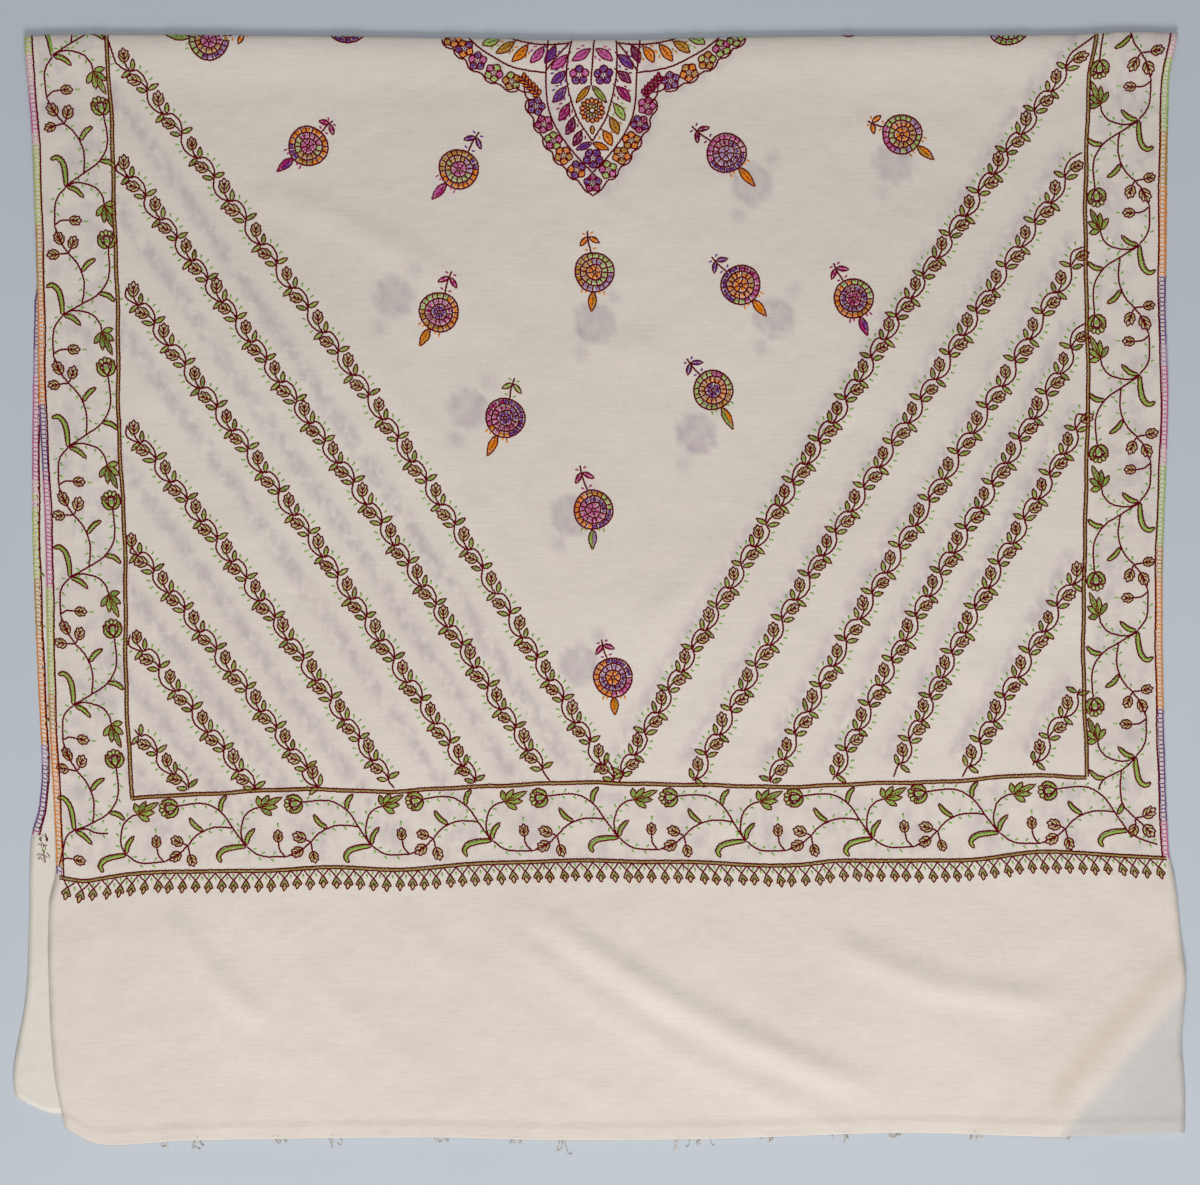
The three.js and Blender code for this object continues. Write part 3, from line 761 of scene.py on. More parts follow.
def sew_stem(lines, fills, route, spacing=11.0, start=5.0):
    line = smooth(route)
    lines.sew(line, "maroon")
    ticks_along(fills, line, spacing + random.uniform(-0.8, 0.8), start)


def branch_with_buds(lines, fills, place):
    """The side branch that carries three buds and a leaf."""
    sew_stem(lines, fills, place(BRANCH))
    strap_leaf(lines, fills, place(BRANCH_LEAF), STRAP_WIDTH, "leaf green")
    for k in (1, 2, 3):
        lines.sew(smooth(place(STALKS[k])), "maroon")
        from_, to = place(BORDER_BUDS[k])
        bud(lines, fills, from_, to + random.normal(0, 0.4, 2))


def border_unit(lines, fills, place, stem_leaf=True):
    """One repeat of the border vine."""
    sew_stem(lines, fills, place(FAN_STEM), 9.5, 7)
    fan_flower(lines, fills, place)
    sew_stem(lines, fills, place(LOWER_STEM))
    lines.sew(smooth(place(STALKS[0])), "maroon")
    bud(lines, fills, *place(BORDER_BUDS[0]))
    top = place([(31.2, 16.6), (31.2, 18)])
    tick(fills, top[0], top[1] - top[0], 4)
    strap_leaf(lines, fills, place(HOOK_LEAF), HOOK_WIDTH, "leaf green")
    strap_leaf(lines, fills, place(SHORT_LEAF), STRAP_WIDTH, "leaf green")
    border_flower(lines, fills, place)
    sew_stem(lines, fills, place(MAIN_STEM))
    branch_with_buds(lines, fills, place)
    if stem_leaf:
        strap_leaf(lines, fills, place(STEM_LEAF), STRAP_WIDTH, "leaf green")


# Where the left border's vine ends at the lower corner, from its last node
CORNER_STUB = [(0, 0.8), (-3.6, 11), (-0.9, 20), (-0.3, 31)]
CORNER_STEM = [(0, 0), (9, -7.5), (21, -11), (38, -15)]
CORNER_STALK = [(34, -13.5), (29, -8.5), (27, -1.5)]
CORNER_BUD = [(27.4, -1.5), (25.2, 9.0)]

# The short stem that ends the vine of the end border, past its last node
LAST_STEM = [(0, 0), (11, -7.6), (27, -13)]

# The sprig of the other lower corner, from the right border's last node: down, and to the field
SPRIG_STUB = [(0, 0), (7, 7.3), (11, 12.9), (15.1, 21.7), (17.8, 27.7), (23, 32.6), (28.2, 34.7)]
SPRIG_STEM = [(11, 12.9), (24.3, 14.6), (40.4, 13.4), (48.4, 7.8), (54.1, 2)]
SPRIG_BUDS = [((52.8, -5.5), (45.8, -16.4)), ((60.1, 2.1), (70.4, 6.5)),
              ((60.9, -5.4), (70.6, -14.4))]
SPRIG_LEAVES = [[(40.9, 12.9), (46.2, 15), (50.1, 18.3)], [(17.8, 27.7), (16.7, 35.8), (9.6, 42.6)]]


def corner_sprig(lines, fills, place):
    sew_stem(lines, fills, place(SPRIG_STUB))
    sew_stem(lines, fills, place(SPRIG_STEM))
    for base, tip in SPRIG_BUDS:
        from_, to = place([base, tip])
        lines.sew(np.array([place(SPRIG_STEM)[-1], from_]), "maroon")
        bud(lines, fills, from_, to)
    for points in SPRIG_LEAVES:
        strap_leaf(lines, fills, place(points), STRAP_WIDTH, "leaf green")


def border_corner(lines, fills, place):
    sew_stem(lines, fills, place(CORNER_STUB))
    sew_stem(lines, fills, place(CORNER_STEM))
    lines.sew(smooth(place(CORNER_STALK)), "maroon")
    bud(lines, fills, *place(CORNER_BUD))
    strap_leaf(lines, fills, place(HOOK_LEAF), HOOK_WIDTH, "leaf green")
    strap_leaf(lines, fills, place(SHORT_LEAF), STRAP_WIDTH, "leaf green")


# Nodes of the border vine: down the left side, along the end, and up the right side
LEFT_NODES = [(-486, -98), (-486, 19), (-481, 135), (-487, 250), (-485, 368), (-488, 485),
              (-487, 599), (-492, 713)]
END_NODES = [-446, -336, -221, -110.5, 6, 122, 238.5, 354.6, 473]
RIGHT_NODES = [(483, 652), (487, 539), (487, 423), (484, 309), (486, 192), (484, 80), (485, -36)]

# Frame of the field, and the double line at the end of the border
FRAME_SIDE = 438.0
FRAME_END = [
    (-439, 683), (-394, 681), (-324, 678), (-254, 677), (-192, 679), (-89, 671), (8, 669),
    (175, 676), (315, 672), (386, 666), (437, 668),
]
BORDER_END = [
    (-511, 762), (-445, 750), (-329, 750), (-270, 747), (-196, 749), (-80, 740), (39, 740),
    (171, 747), (206, 744), (312, 744), (394, 735), (506, 743),
]
BORDER_SIDE = 507


def border_run(lines, fills, nodes, last_leaf=True):
    """The units of the border vine between the nodes of one side."""
    for k in range(len(nodes) - 1):
        run = np.subtract(nodes[k + 1], nodes[k])
        place = Place(nodes[k], run, 1, np.hypot(*run) / UNIT)
        border_unit(lines, fills, place, last_leaf or k < len(nodes) - 2)


def sew_border(lines, fills):
    end_nodes = [(across, float(follow(FRAME_END, across)) + FIELD_LINE) for across in END_NODES]
    border_run(lines, fills, LEFT_NODES)
    border_run(lines, fills, end_nodes, False)
    border_run(lines, fills, RIGHT_NODES)
    border_corner(lines, fills, Place(LEFT_NODES[-1], (0, 1)))
    last = Place(end_nodes[-1], (1, 0))
    sew_stem(lines, fills, last(LAST_STEM))
    strap_leaf(lines, fills, last(HOOK_LEAF), HOOK_WIDTH, "leaf green")
    corner_sprig(lines, fills, Place(RIGHT_NODES[0], (0, 1), -1))


def sew_double_line(lines, fills, route):
    """Two maroon lines side by side with an olive one between them."""
    route, _ = evenly(route, 6)
    heading = np.gradient(route, axis=0)
    heading /= np.linalg.norm(heading, axis=1, keepdims=True)
    aside = np.stack([heading[:, 1], -heading[:, 0]], 1)
    for side in (-LINES_APART, LINES_APART):
        lines.sew(route + side * aside, "maroon", LINE_WIDTH * 0.85)
    fills.sew(route, "olive", FILL_WIDTH, FILL_RISE, step=2)


def hand_stray(along, *waves):
    """How far a line that is sewn by hand strays: waves of a height and a length each."""
    return sum(height * np.sin(along / length) for height, length in waves)


def sew_frame(lines, fills):
    for side in (-FRAME_SIDE, FRAME_SIDE):
        down = np.linspace(-5, float(follow(FRAME_END, side)), 50)
        stray = hand_stray(down, (0.6, 33), (0.4, 9))
        sew_double_line(lines, fills, np.column_stack([side + stray, down]))
    across = np.linspace(-FRAME_SIDE, FRAME_SIDE, 60)
    end = follow(FRAME_END, across) + hand_stray(across, (0.5, 21), (0.4, 8.3))
    sew_double_line(lines, fills, np.column_stack([across, end]))
    across = np.linspace(-BORDER_SIDE, BORDER_SIDE, 80)
    end = follow(BORDER_END, across) + hand_stray(across, (0.5, 17))
    sew_double_line(lines, fills, np.column_stack([across, end]))


EDGING_PITCH = 11.6
EDGING_CROSS = 6.7
EDGING_LINE = 1.6
EDGING_SPAN = 1008

# One bud of the edging, below its crossing: half its hood, half its drop and half the green
# stitch between them (sideways, down)
HOOD = [(0.0, -0.4), (2.3, 3.0), (4.2, 6.6), (2.3, 7.4), (1.2, 6.0)]
DROP = [(0.0, 3.8), (1.5, 6.0), (1.9, 8.0), (0.0, 11.4)]
CHEVRON = [(0.0, 1.9), (2.7, 6.0)]


def sew_edging(lines, fills):
    """Crossed stitches below the end of the border, with a small bud under each crossing."""
    count = round(EDGING_SPAN / EDGING_PITCH)
    pitch = EDGING_SPAN / count
    for k in range(count):
        across = (k + 0.5) * pitch - EDGING_SPAN / 2 + random.uniform(-0.8, 0.8)
        down = float(follow(BORDER_END, across)) + 1.4
        depth = EDGING_CROSS + random.uniform(-0.6, 0.6)
        crossing = Place((across, down + depth), (random.uniform(-0.12, 0.12), 1), -1,
                         random.uniform(0.94, 1.04))
        size = random.uniform(0.94, 1.06)
        for side in (-1, 1):
            top = (across + side * pitch * 0.5, down)
            foot = (across - side * 0.8, down + depth + 0.9)
            lines.sew(np.array([top, foot]), "maroon", EDGING_LINE)
            for half in (HOOD, DROP):
                turned = [(y, side * x * size) for x, y in half]
                lines.sew(crossing(turned), "maroon", EDGING_LINE, step=1.2)
            turned = [(y, side * x) for x, y in CHEVRON]
            fills.sew(crossing(turned), "leaf green", 1.3, FILL_RISE)
        fills.sew(crossing([(5.6, 0), (9.6, 0)]), "bud green", 1.8, FILL_RISE)
        tick(fills, (across + pitch / 2, down + 3.6), (random.uniform(-0.2, 0.3), 1), 3.4)
        tick(fills, (across, down + 0.9), (random.uniform(-0.3, 0.2), 1), 3.2)


# Ladder stitch of the long edges: how far down each colour of the thread reaches
LADDER_LEFT = [
    (21, "yellow green"), (44, "pale pink"), (85, "pink"), (101, "pale pink"),
    (171, "yellow green"), (234, "ochre"), (330, "orange"), (398, "purple"), (502, "pink"),
    (595, "yellow green"), (625, "ochre"), (753, "orange"), (765, "purple"),
]
LADDER_RIGHT = [
    (19, "pale pink"), (82, "pale green"), (141, "ochre"), (217, "orange"), (280, "purple"),
    (294, "lilac"), (366, "pink"), (384, "pale pink"), (460, "pale green"), (492, "ochre"),
    (604, "orange"), (708, "purple"), (745, "pink"),
]
LADDER_UNDER = [
    (190, "orange"), (293, "purple"), (320, "lilac"), (405, "pink"), (433, "pale pink"),
    (503, "yellow green"), (559, "ochre"), (657, "orange"), (680, "lilac"), (737, "purple"),
    (760, "magenta"),
]
RUNG_PITCH = 3.85
RUNG_WIDTH = 1.15
RUNG_SHORT = 1.3
LADDER_BAND = 6.4
LADDER_EDGE = 0.7


def dye_at(rows, down):
    for reach, dye in rows:
        if down <= reach:
            return dye
    return rows[-1][1]


def sew_ladder(lines, fills, rows, side, start, end):
    """Rungs over a long edge, a thread along it, and a line on their inner side."""
    edge = side * (CLOTH_WIDTH / 2 - LADDER_EDGE)
    inner = side * (CLOTH_WIDTH / 2 - LADDER_BAND)
    down = start
    while down < end:
        dye = dye_at(rows, down + random.uniform(-6, 6))
        lean = random.uniform(-0.4, 0.4)
        rung = np.array([(edge, down), (inner + side * RUNG_SHORT, down + lean)])
        fills.sew(rung, dye, RUNG_WIDTH, FILL_RISE)
        fills.sew(np.array([(edge, down), (edge, down + RUNG_PITCH)]), dye, 1.3, LINE_RISE)
        loop = np.array([rung[1], rung[1] + (0, RUNG_PITCH)])
        fills.sew(loop, dye, RUNG_WIDTH * 0.7, FILL_RISE * 0.8)
        down += RUNG_PITCH * random.uniform(0.9, 1.1)
    route = np.linspace(start, end, 60)
    stray = 0.35 * np.sin(route / 13)
    lines.sew(np.column_stack([inner + stray, route]), "maroon")


# Where the ladder stitch of each long edge ends, and where the under half's starts
UPPER_LADDER_ENDS = (760, 742)
UNDER_LADDER_ENDS = (744, 740)
UNDER_LADDER_START = 12


def sew_upper_ladders(lines, fills):
    sew_ladder(lines, fills, LADDER_LEFT, -1, FOLD_END, UPPER_LADDER_ENDS[0])
    sew_ladder(lines, fills, LADDER_RIGHT, 1, FOLD_END, UPPER_LADDER_ENDS[1])


# Knots of thread on the wrong side, beside the upper half's edge, and the run of its dots
KNOTS = [(-502, 500), (-504, 548), (-501, 622), (-500, 634)]
DOTS_START = 150.0
DOTS_END = 742


def sew_reverse(lines, fills):
    """The wrong side of the under half's edge: dots of the maroon line, knots and stray threads."""
    down = DOTS_START
    inner = -CLOTH_WIDTH / 2 + LADDER_BAND - 1.2
    while down < DOTS_END:
        spot = inner + random.uniform(-0.6, 0.6)
        lines.sew(np.array([(spot, down), (spot + 0.3, down + 2.2)]), "maroon", 1.5)
        down += random.uniform(6.5, 10)
    spots = [np.array(spot) + random.normal(0, 1.1, 2) for spot in KNOTS for _ in range(4)]
    spots += [np.array([random.uniform(-503, -495), random.uniform(739, 766)]) for _ in range(30)]
    for spot in spots:
        run = np.array([random.uniform(-2.5, 3), random.uniform(1, 4.5)])
        middle = spot + run / 2 + (random.uniform(-1.5, 1.5), 0)
        thread, dye = (lines, "maroon") if random.random() < 0.8 else (fills, "deep green")
        thread.sew(smooth([spot, middle, spot + run]), dye, 1.3)


def sew_under_ladders(lines, fills):
    sew_ladder(lines, fills, LADDER_UNDER, -1, UNDER_LADDER_START, UNDER_LADDER_ENDS[0])
    sew_ladder(lines, fills, LADDER_RIGHT, 1, UNDER_LADDER_START, UNDER_LADDER_ENDS[1])
    sew_reverse(lines, fills)


# Loose fibres at the hem: where they leave it, and how far they reach past it
HEM_FIBRES = [(-420, 6), (-392, 11), (-318, 5), (-262, 8), (-166, 4), (-97, 6), (-60, 14),
              (52, 12), (74, 9), (128, 5), (196, 7), (247, 4), (318, 6), (402, 3)]


def sew_hem_fibres(fibres):
    """Thin frayed ends that curl out from under the hem."""
    for across, reach in HEM_FIBRES:
        for _ in range(3):
            start = np.array([across + random.uniform(-5, 5), HALF_LENGTH - random.uniform(1, 4)])
            run = np.array([random.uniform(-7, 7), reach * random.uniform(0.6, 1.1) + 3])
            bow = np.array([random.uniform(-4, 4), random.uniform(-1, 2)])
            curl = run + (random.uniform(-3, 3), random.uniform(-3, 1))
            route = smooth([start, start + run / 2 + bow, start + run, start + curl])
            fibres.sew(route, "undyed", 0.7, 0.4, step=1.2)


# Round flowers of the field: middle, ends of the sprig and of the tail leaf, and their dyes. Three
# of those that the fold cuts show neither sprig nor leaf
Flower = namedtuple("Flower", "middle sprig tail sprig_dye tail_dyes outer ring heart")
FLOWERS = [
    Flower((-262, 99), (-239, 76), (-291, 122), "magenta", ("magenta", "purple"),
           ["orange", "ochre", "purple", "orange", "orange", "orange"],
           ["ochre", "pale green", "pink", "pale green"], "pink"),
    Flower((-127, 118), (-108, 84), (-152, 146), "purple", ("pink", "magenta"),
           ["orange", "orange", "orange", "ochre", "ochre", "purple"],
           ["pale green", "leaf green", "ochre", "lilac"], "pink"),
    Flower((114, 104), (83, 79), (140, 135), "plum", ("orange", "orange"),
           ["purple", "purple", "pink", "pink", "pink", "pale pink"],
           ["purple", "lilac", "magenta", "purple"], "lilac"),
    Flower((272, 89), (241, 77), (301, 112), "orange", ("ochre", "orange"),
           ["pale green", "lilac", "pink", "pale green", "pale green", "lilac"],
           ["ochre", "pale green", "orange", "ochre"], "orange"),
    Flower((-6, 209), (-12, 172), (-9, 245), "orange", ("orange", "ochre"),
           ["lilac", "lilac", "ochre", "ochre", "pale green", "pale green"],
           ["pale green", "ochre", "lilac", "pale green"], "orange"),
    Flower((-147, 247), (-135, 210), (-165, 278), "magenta", ("orange", "ochre"),
           ["orange", "ochre", "ochre", "pale green", "pale green", "orange"],
           ["pink", "magenta", "pink", "magenta"], "purple"),
    Flower((126, 223), (100, 197), (149, 252), "purple", ("orange", "orange"),
           ["pink", "pale green", "purple", "purple", "magenta", "pink"],
           ["orange", "ochre", "orange", "ochre"], "orange"),
    Flower((228, 237), (210, 205), (240, 271), "magenta", ("magenta", "purple"),
           ["ochre", "orange", "orange", "orange", "pale green", "pale green"],
           ["purple", "purple", "plum", "purple"], "magenta"),
    Flower((99, 317), (76, 288), (117, 353), "purple", ("leaf green", "orange"),
           ["ochre", "leaf green", "pale green", "pale green", "pink", "pale green"],
           ["orange", "ochre", "orange", "orange"], "purple"),
    Flower((-89, 341), (-80, 305), (-106, 376), "leaf green", ("orange", "orange"),
           ["purple", "orange", "pink", "magenta", "purple", "purple"],
           ["magenta", "pink", "magenta", "purple"], "purple"),
    Flower((-10, 423), (-22, 383), (-11, 459), "magenta", ("leaf green", "lilac"),
           ["purple", "orange", "orange", "orange", "ochre", "pale green"],
           ["pink", "pink", "purple", "purple"], "pink"),
    Flower((7, 574), (-3, 540), (8, 608), "magenta", ("orange", "ochre"),
           ["pink", "orange", "orange", "orange", "purple", "purple"],
           ["purple", "purple", "lilac", "purple"], "orange"),
    Flower((-347, 5), (-312, -3), (-386, 0), "orange", ("pale green", "leaf green"),
           ["lilac", "purple", "pale green", "pale green", "ochre", "ochre"],
           ["ochre", "ochre", "pale green", "pink"], "pink"),
    Flower((-225, -11), None, None, None, None,
           ["purple", "purple", "magenta", "pink", "purple", "purple"],
           ["magenta", "pink", "purple"], "pink"),
    Flower((360, -8), None, None, None, None,
           ["pale green", "leaf green", "lilac", "pink", "orange", "orange"],
           ["pale green", "leaf green", "pale green"], "orange"),
    Flower((219, -17), None, None, None, None,
           ["orange", "orange", "ochre", "orange", "orange", "ochre"],
           ["purple", "pink", "purple"], "pink"),
]
OUTER_RADIUS = 17.6
RING_RADIUS = 12.5
HEART_RADIUS = 7.0
CORE_RADIUS = 1.7
OUTER_CELLS = 19
RING_CELLS = 14
HEART_CELLS = 6


WOBBLE = 0.35


def circle(middle, radius):
    turns = np.linspace(0, 2 * np.pi, 33)[:-1]
    sway = radius + WOBBLE * np.sin(3 * turns + random.uniform(0, 6))
    return np.asarray(middle) + np.stack([np.cos(turns), np.sin(turns)], 1) * sway[:, None]


def cell_ring(lines, fills, middle, inner, outer, cells, dyes, start=0.0):
    """A ring of cells: spokes between them, and stitches in each from its inner side outwards."""
    middle = np.asarray(middle, float)
    per_dye = cells / len(dyes)
    for k in range(cells):
        turn = start + 2 * np.pi * (k + random.uniform(-0.12, 0.12)) / cells
        out = np.array([math.cos(turn), math.sin(turn)])
        lines.sew(np.array([middle + out * inner, middle + out * outer]), "maroon", EDGE_WIDTH)
        dye = dyes[int(k / per_dye + random.uniform(-0.4, 0.4)) % len(dyes)]
        width = 2 * np.pi * (inner + outer) / 2 / cells
        rows = max(round((width - 1.3) / 1.3), 1)
        for row in range(rows):
            part = (row + 0.5) / rows * 0.66 + 0.17
            way = turn + 2 * np.pi / cells * part
            out = np.array([math.cos(way), math.sin(way)])
            near, far = inner + 1.1, outer - 1.1
            fills.sew(np.array([middle + out * near, middle + out * far]), dye,
                      min(1.5, 0.9 * width / rows), FILL_RISE * 1.1, step=2.2)


def sew_sprig(lines, fills, flower):
    """A short stem with two leaves and four ticks, above a round flower."""
    middle = np.array(flower.middle, float)
    up = np.array(flower.sprig, float) - middle
    reach = np.hypot(*up) - OUTER_RADIUS
    up /= np.hypot(*up)
    place = Place(middle + up * OUTER_RADIUS, up)
    lines.sew(smooth(place([(0, 0), (reach * 0.5, 0.8), (reach, 0)])), "maroon")
    for side in (-1, 1):
        base, tip = place([(reach * 0.72, side * 0.6), (reach * 0.38, side * 9.0)])
        leaf(lines, fills, base, tip, 4.2, flower.sprig_dye)
        for at in (0.14, 0.86):
            from_, to = place([(reach * at, side * 2.4), (reach * at + 1, side * 5.2)])
            tick(fills, from_, to - from_, 2.8, flower.sprig_dye)


def sew_tail(lines, fills, flower):
    """A ribbed leaf with four ticks, below a round flower."""
    middle = np.array(flower.middle, float)
    down = np.array(flower.tail, float) - middle
    reach = np.hypot(*down) - OUTER_RADIUS
    down /= np.hypot(*down)
    place = Place(middle + down * OUTER_RADIUS, down)
    base, tip = place([(0, 0), (reach, 0)])
    leaf(lines, fills, base, tip, 7.0, *flower.tail_dyes, rib=True, fullest=0.42)
    for side in (-1, 1):
        for at in (5.5, 9.5):
            from_, to = place([(-2 + at * 0.1, side * at), (2.4, side * (at + 1.2))])
            tick(fills, from_, to - from_, 3.4, flower.tail_dyes[0])


def round_flower(lines, fills, flower):
    """A round flower of three rings of cells, with a sprig above it and a leaf below."""
    middle = np.array(flower.middle, float)
    start = random.uniform(0, 1)
    cell_ring(lines, fills, middle, RING_RADIUS, OUTER_RADIUS, OUTER_CELLS, flower.outer)
    cell_ring(lines, fills, middle, HEART_RADIUS, RING_RADIUS, RING_CELLS, flower.ring, start)
    cell_ring(lines, fills, middle, CORE_RADIUS, HEART_RADIUS, HEART_CELLS, [flower.heart], start)
    fills.sew(np.array([middle - (0, 0.6), middle + (0, 0.6)]), flower.heart, 1.9, LINE_RISE)
    for radius in (OUTER_RADIUS, RING_RADIUS, HEART_RADIUS, CORE_RADIUS):
        lines.sew(circle(middle, radius), "maroon", LINE_WIDTH, closed=True)
    if flower.sprig:
        sew_sprig(lines, fills, flower)
    if flower.tail:
        sew_tail(lines, fills, flower)


def sew_round_flowers(lines, fills):
    for flower in FLOWERS:
        round_flower(lines, fills, flower)


# The half medallion that hangs from the fold, by its middle line: to the side, and down
MEDALLION_MIDDLE = -6.5
BAND_FLOWERS = [
    ((125, 1), "pale green", "pale green"), ((114, 10), "pale green", "pink"),
    ((102, 21), "ochre", "yellow green"), ((87, 31), "orange", "ochre"),
    ((71, 38), "purple", "purple"), ((49.5, 60), "pink", "magenta"),
    ((43, 76), "purple", "magenta"), ((35, 91), "orange", "ochre"), ((26, 104), "ochre", "orange"),
    ((14, 117), "pale green", "pink"),
]
BAND_LEFT_DYES = [
    ("orange", "ochre"), ("orange", "purple"), ("purple", "pink"), ("pale green", "pink"),
    ("ochre", "pale green"), ("purple", "purple"), ("magenta", "pink"), ("pale green", "pink"),
    ("orange", "ochre"), ("purple", "orange"),
]
BAND_TIP = ((0, 129), "magenta", "purple")
BAND_RADIUS = 7.9
BAND_MARGIN = 9.6
BAND_DIAMONDS = [(58.5, 38), (50, 46.5)]
POINTED_EDGE = [(40.5, -2), (40.5, 32), (38.5, 62), (29, 85), (13.5, 105.5), (0, 119.5)]
HEART_EDGE = [(19.5, 0), (22, 20), (21.5, 39), (13.5, 68.7), (0, 91.2)]
LOBE_EDGE = [(41, 30), (56, 28.5), (72, 25), (88, 17), (101, 9), (114, -3)]
LOBE_TOP = [(20, 3), (36, 5), (56, 4), (80, -2)]
LOBE_SIDE = [(22, 4), (31, 15), (41, 29)]
HEART_LEAVES = [
    ((22.4, 14), (36.6, 27), "purple", "pink"), ((23, 28.5), (35.8, 39.5), "plum", "purple"),
    ((22.4, 42), (35, 56.5), "magenta", "purple"), ((20, 57), (29.6, 73), "pale green", "magenta"),
    ((16.3, 69.5), (23.4, 85.5), "ochre", "plum"), ((9.8, 81.5), (17.4, 95.5), "orange", "plum"),
]
LOBE_LEAVES = [
    ((33.5, 5.5), (42.4, 22), "plum", "purple"), ((44, 6.8), (55, 21.7), "orange", "pink"),
    ((58, 5.2), (71.5, 21), "orange", "orange"), ((70, 2.6), (86, 13.8), "ochre", "ochre"),
    ((83, -0.5), (99, 6.0), "pale green", "pale green"),
]
ROSETTE = (0.5, 63.5)
ROSETTE_RADIUS = 11.4
ROSETTE_PETALS = 14
TOP_LEAF = [(2.2, 8.5), (18.2, 19.5)]
TOP_FLOWER = (10.8, 32)
TOP_FLOWER_RADIUS = 8.4
OVER_ROSETTE = [(1.2, 41.5), (14, 57)]
UNDER_ROSETTE = [(0.3, 77), (0.3, 85)]
FOOT_LEAF = [(0.4, 92.6), (15, 99)]
FOOT_FLOWER = (0.5, 106.5)
FOOT_FLOWER_RADIUS = 8.6
MIDDLE_STEM = [(0, -4), (0.3, 20), (0, 42)]


def five_petals(lines, fills, middle, radius, first, second, start):
    """A small flower of five outlined petals round a dot."""
    middle = np.asarray(middle, float)
    for k in range(5):
        turn = start + 2 * np.pi * k / 5
        out = np.array([math.cos(turn), math.sin(turn)])
        dye = first if (k * 2) % 5 < 3 else second
        base, tip = middle + out * radius * 0.2, middle + out * radius * 1.06
        leaf(lines, fills, base, tip, radius * 0.86, dye, fullest=0.6)
    fills.sew(np.array([middle - (0, 0.8), middle + (0, 0.8)]), second, 1.8, LINE_RISE)


def rosette(lines, fills, middle, radius, petals, outer, inner):
    middle = np.asarray(middle, float)
    for count, near, far, dye in ((petals, 0.52, 1.0, outer), (8, 0.16, 0.52, inner)):
        for k in range(count):
            turn = 2 * np.pi * (k + 0.5) / count
            out = np.array([math.cos(turn), math.sin(turn)])
            width = 2 * np.pi * (near + far) / 2 * radius / count * 0.98
            leaf(lines, fills, middle + out * near * radius, middle + out * far * radius, width,
                 dye if k % 4 else "ochre", fullest=0.6)


def medallion_edge():
    """Small scallops that follow the flowers of the band, from the fold to the tip."""
    spots = [row[0] for row in BAND_FLOWERS]
    spots = np.array(spots[:5] + BAND_DIAMONDS + spots[5:] + [BAND_TIP[0]], float)
    heading = np.gradient(spots, axis=0)
    turns = np.arctan2(heading[:, 1], heading[:, 0]) - np.pi / 2
    turns[-1] = np.pi / 2
    edge = []
    for spot, turn in zip(spots, turns):
        for part in (-46, -16, 16, 46):
            way = turn + math.radians(part)
            if spot[0] or part <= 0:
                edge.append(spot + BAND_MARGIN * np.array([math.cos(way), math.sin(way)]))
    edge.append((0, BAND_TIP[0][1] + BAND_MARGIN + 2))
    edge = np.array(edge)
    keep = edge[:, 0] > -0.1
    return edge[keep]


def medallion_leaf(lines, fills, base, tip, dye, width=7.6):
    """A fat leaf with a rib, and short stitches of its own dye on both sides."""
    leaf(lines, fills, base, tip, width, dye, bend=random.uniform(0.4, 1.2), rib=True, fullest=0.5)
    run = np.subtract(tip, base) / np.hypot(*np.subtract(tip, base))
    aside = np.array([run[1], -run[0]])
    for side in (-1, 1):
        for at in (3.5, 8.5):
            spot = base + run * (at + random.uniform(-1, 1)) + side * aside * (width * 0.5 + 1.6)
            if random.random() < 0.8:
                tick(fills, spot, run + side * aside * 0.6, 3.0, dye)


def medallion_diamond(lines, fills, spot, heading, dye):
    """A short stem with three pairs of small leaves, between two flowers of the band."""
    sprig = Place(spot, heading)
    lines.sew(sprig([(-6.5, 0), (6.5, 0)]), "maroon", LINE_WIDTH * 0.7)
    for at in (-4.5, -0.5, 3.5):
        for hand in (-1, 1):
            from_, to = sprig([(at, hand * 0.6), (at + 3.4, hand * 4.6)])
            leaf(lines, fills, from_, to, 2.9, dye)


def medallion_side(lines, fills, side):
    """One side of the medallion: 1 for the right one, -1 for the left one."""
    left = side < 0

    def place(points):
        points = np.atleast_2d(np.asarray(points, float))
        return points * (side, 1) + (MEDALLION_MIDDLE, 0)

    lines.sew(smooth(place(medallion_edge())), "maroon")
    for edge in (POINTED_EDGE, HEART_EDGE, LOBE_EDGE, LOBE_TOP, LOBE_SIDE):
        lines.sew(place(smooth(edge)), "maroon")
    for k, (spot, *dyes) in enumerate(BAND_FLOWERS):
        dyes = BAND_LEFT_DYES[k] if left else dyes
        five_petals(lines, fills, place([spot])[0], BAND_RADIUS, *dyes, 0.5 * k)
    for base, tip, dye, left_dye in HEART_LEAVES + LOBE_LEAVES:
        from_, to = place([base, tip])
        medallion_leaf(lines, fills, from_, to, left_dye if left else dye)
        lines.sew(np.array([from_, from_ - (side * 3, 2.5)]), "maroon", THIN_WIDTH)
    for spot in BAND_DIAMONDS:
        dye = "orange" if left else "magenta"
        medallion_diamond(lines, fills, place([spot])[0], (side * 8, -9), dye)
    medallion_leaf(lines, fills, *place(TOP_LEAF), "pink")
    five_petals(lines, fills, place([TOP_FLOWER])[0], TOP_FLOWER_RADIUS, "purple",
                "pink" if left else "purple", 0.9)
    leaf(lines, fills, *place(OVER_ROSETTE), 5.6, "ochre" if left else "leaf green", rib=True)
    leaf(lines, fills, *place(FOOT_LEAF), 5.6, "purple" if left else "orange", rib=True)


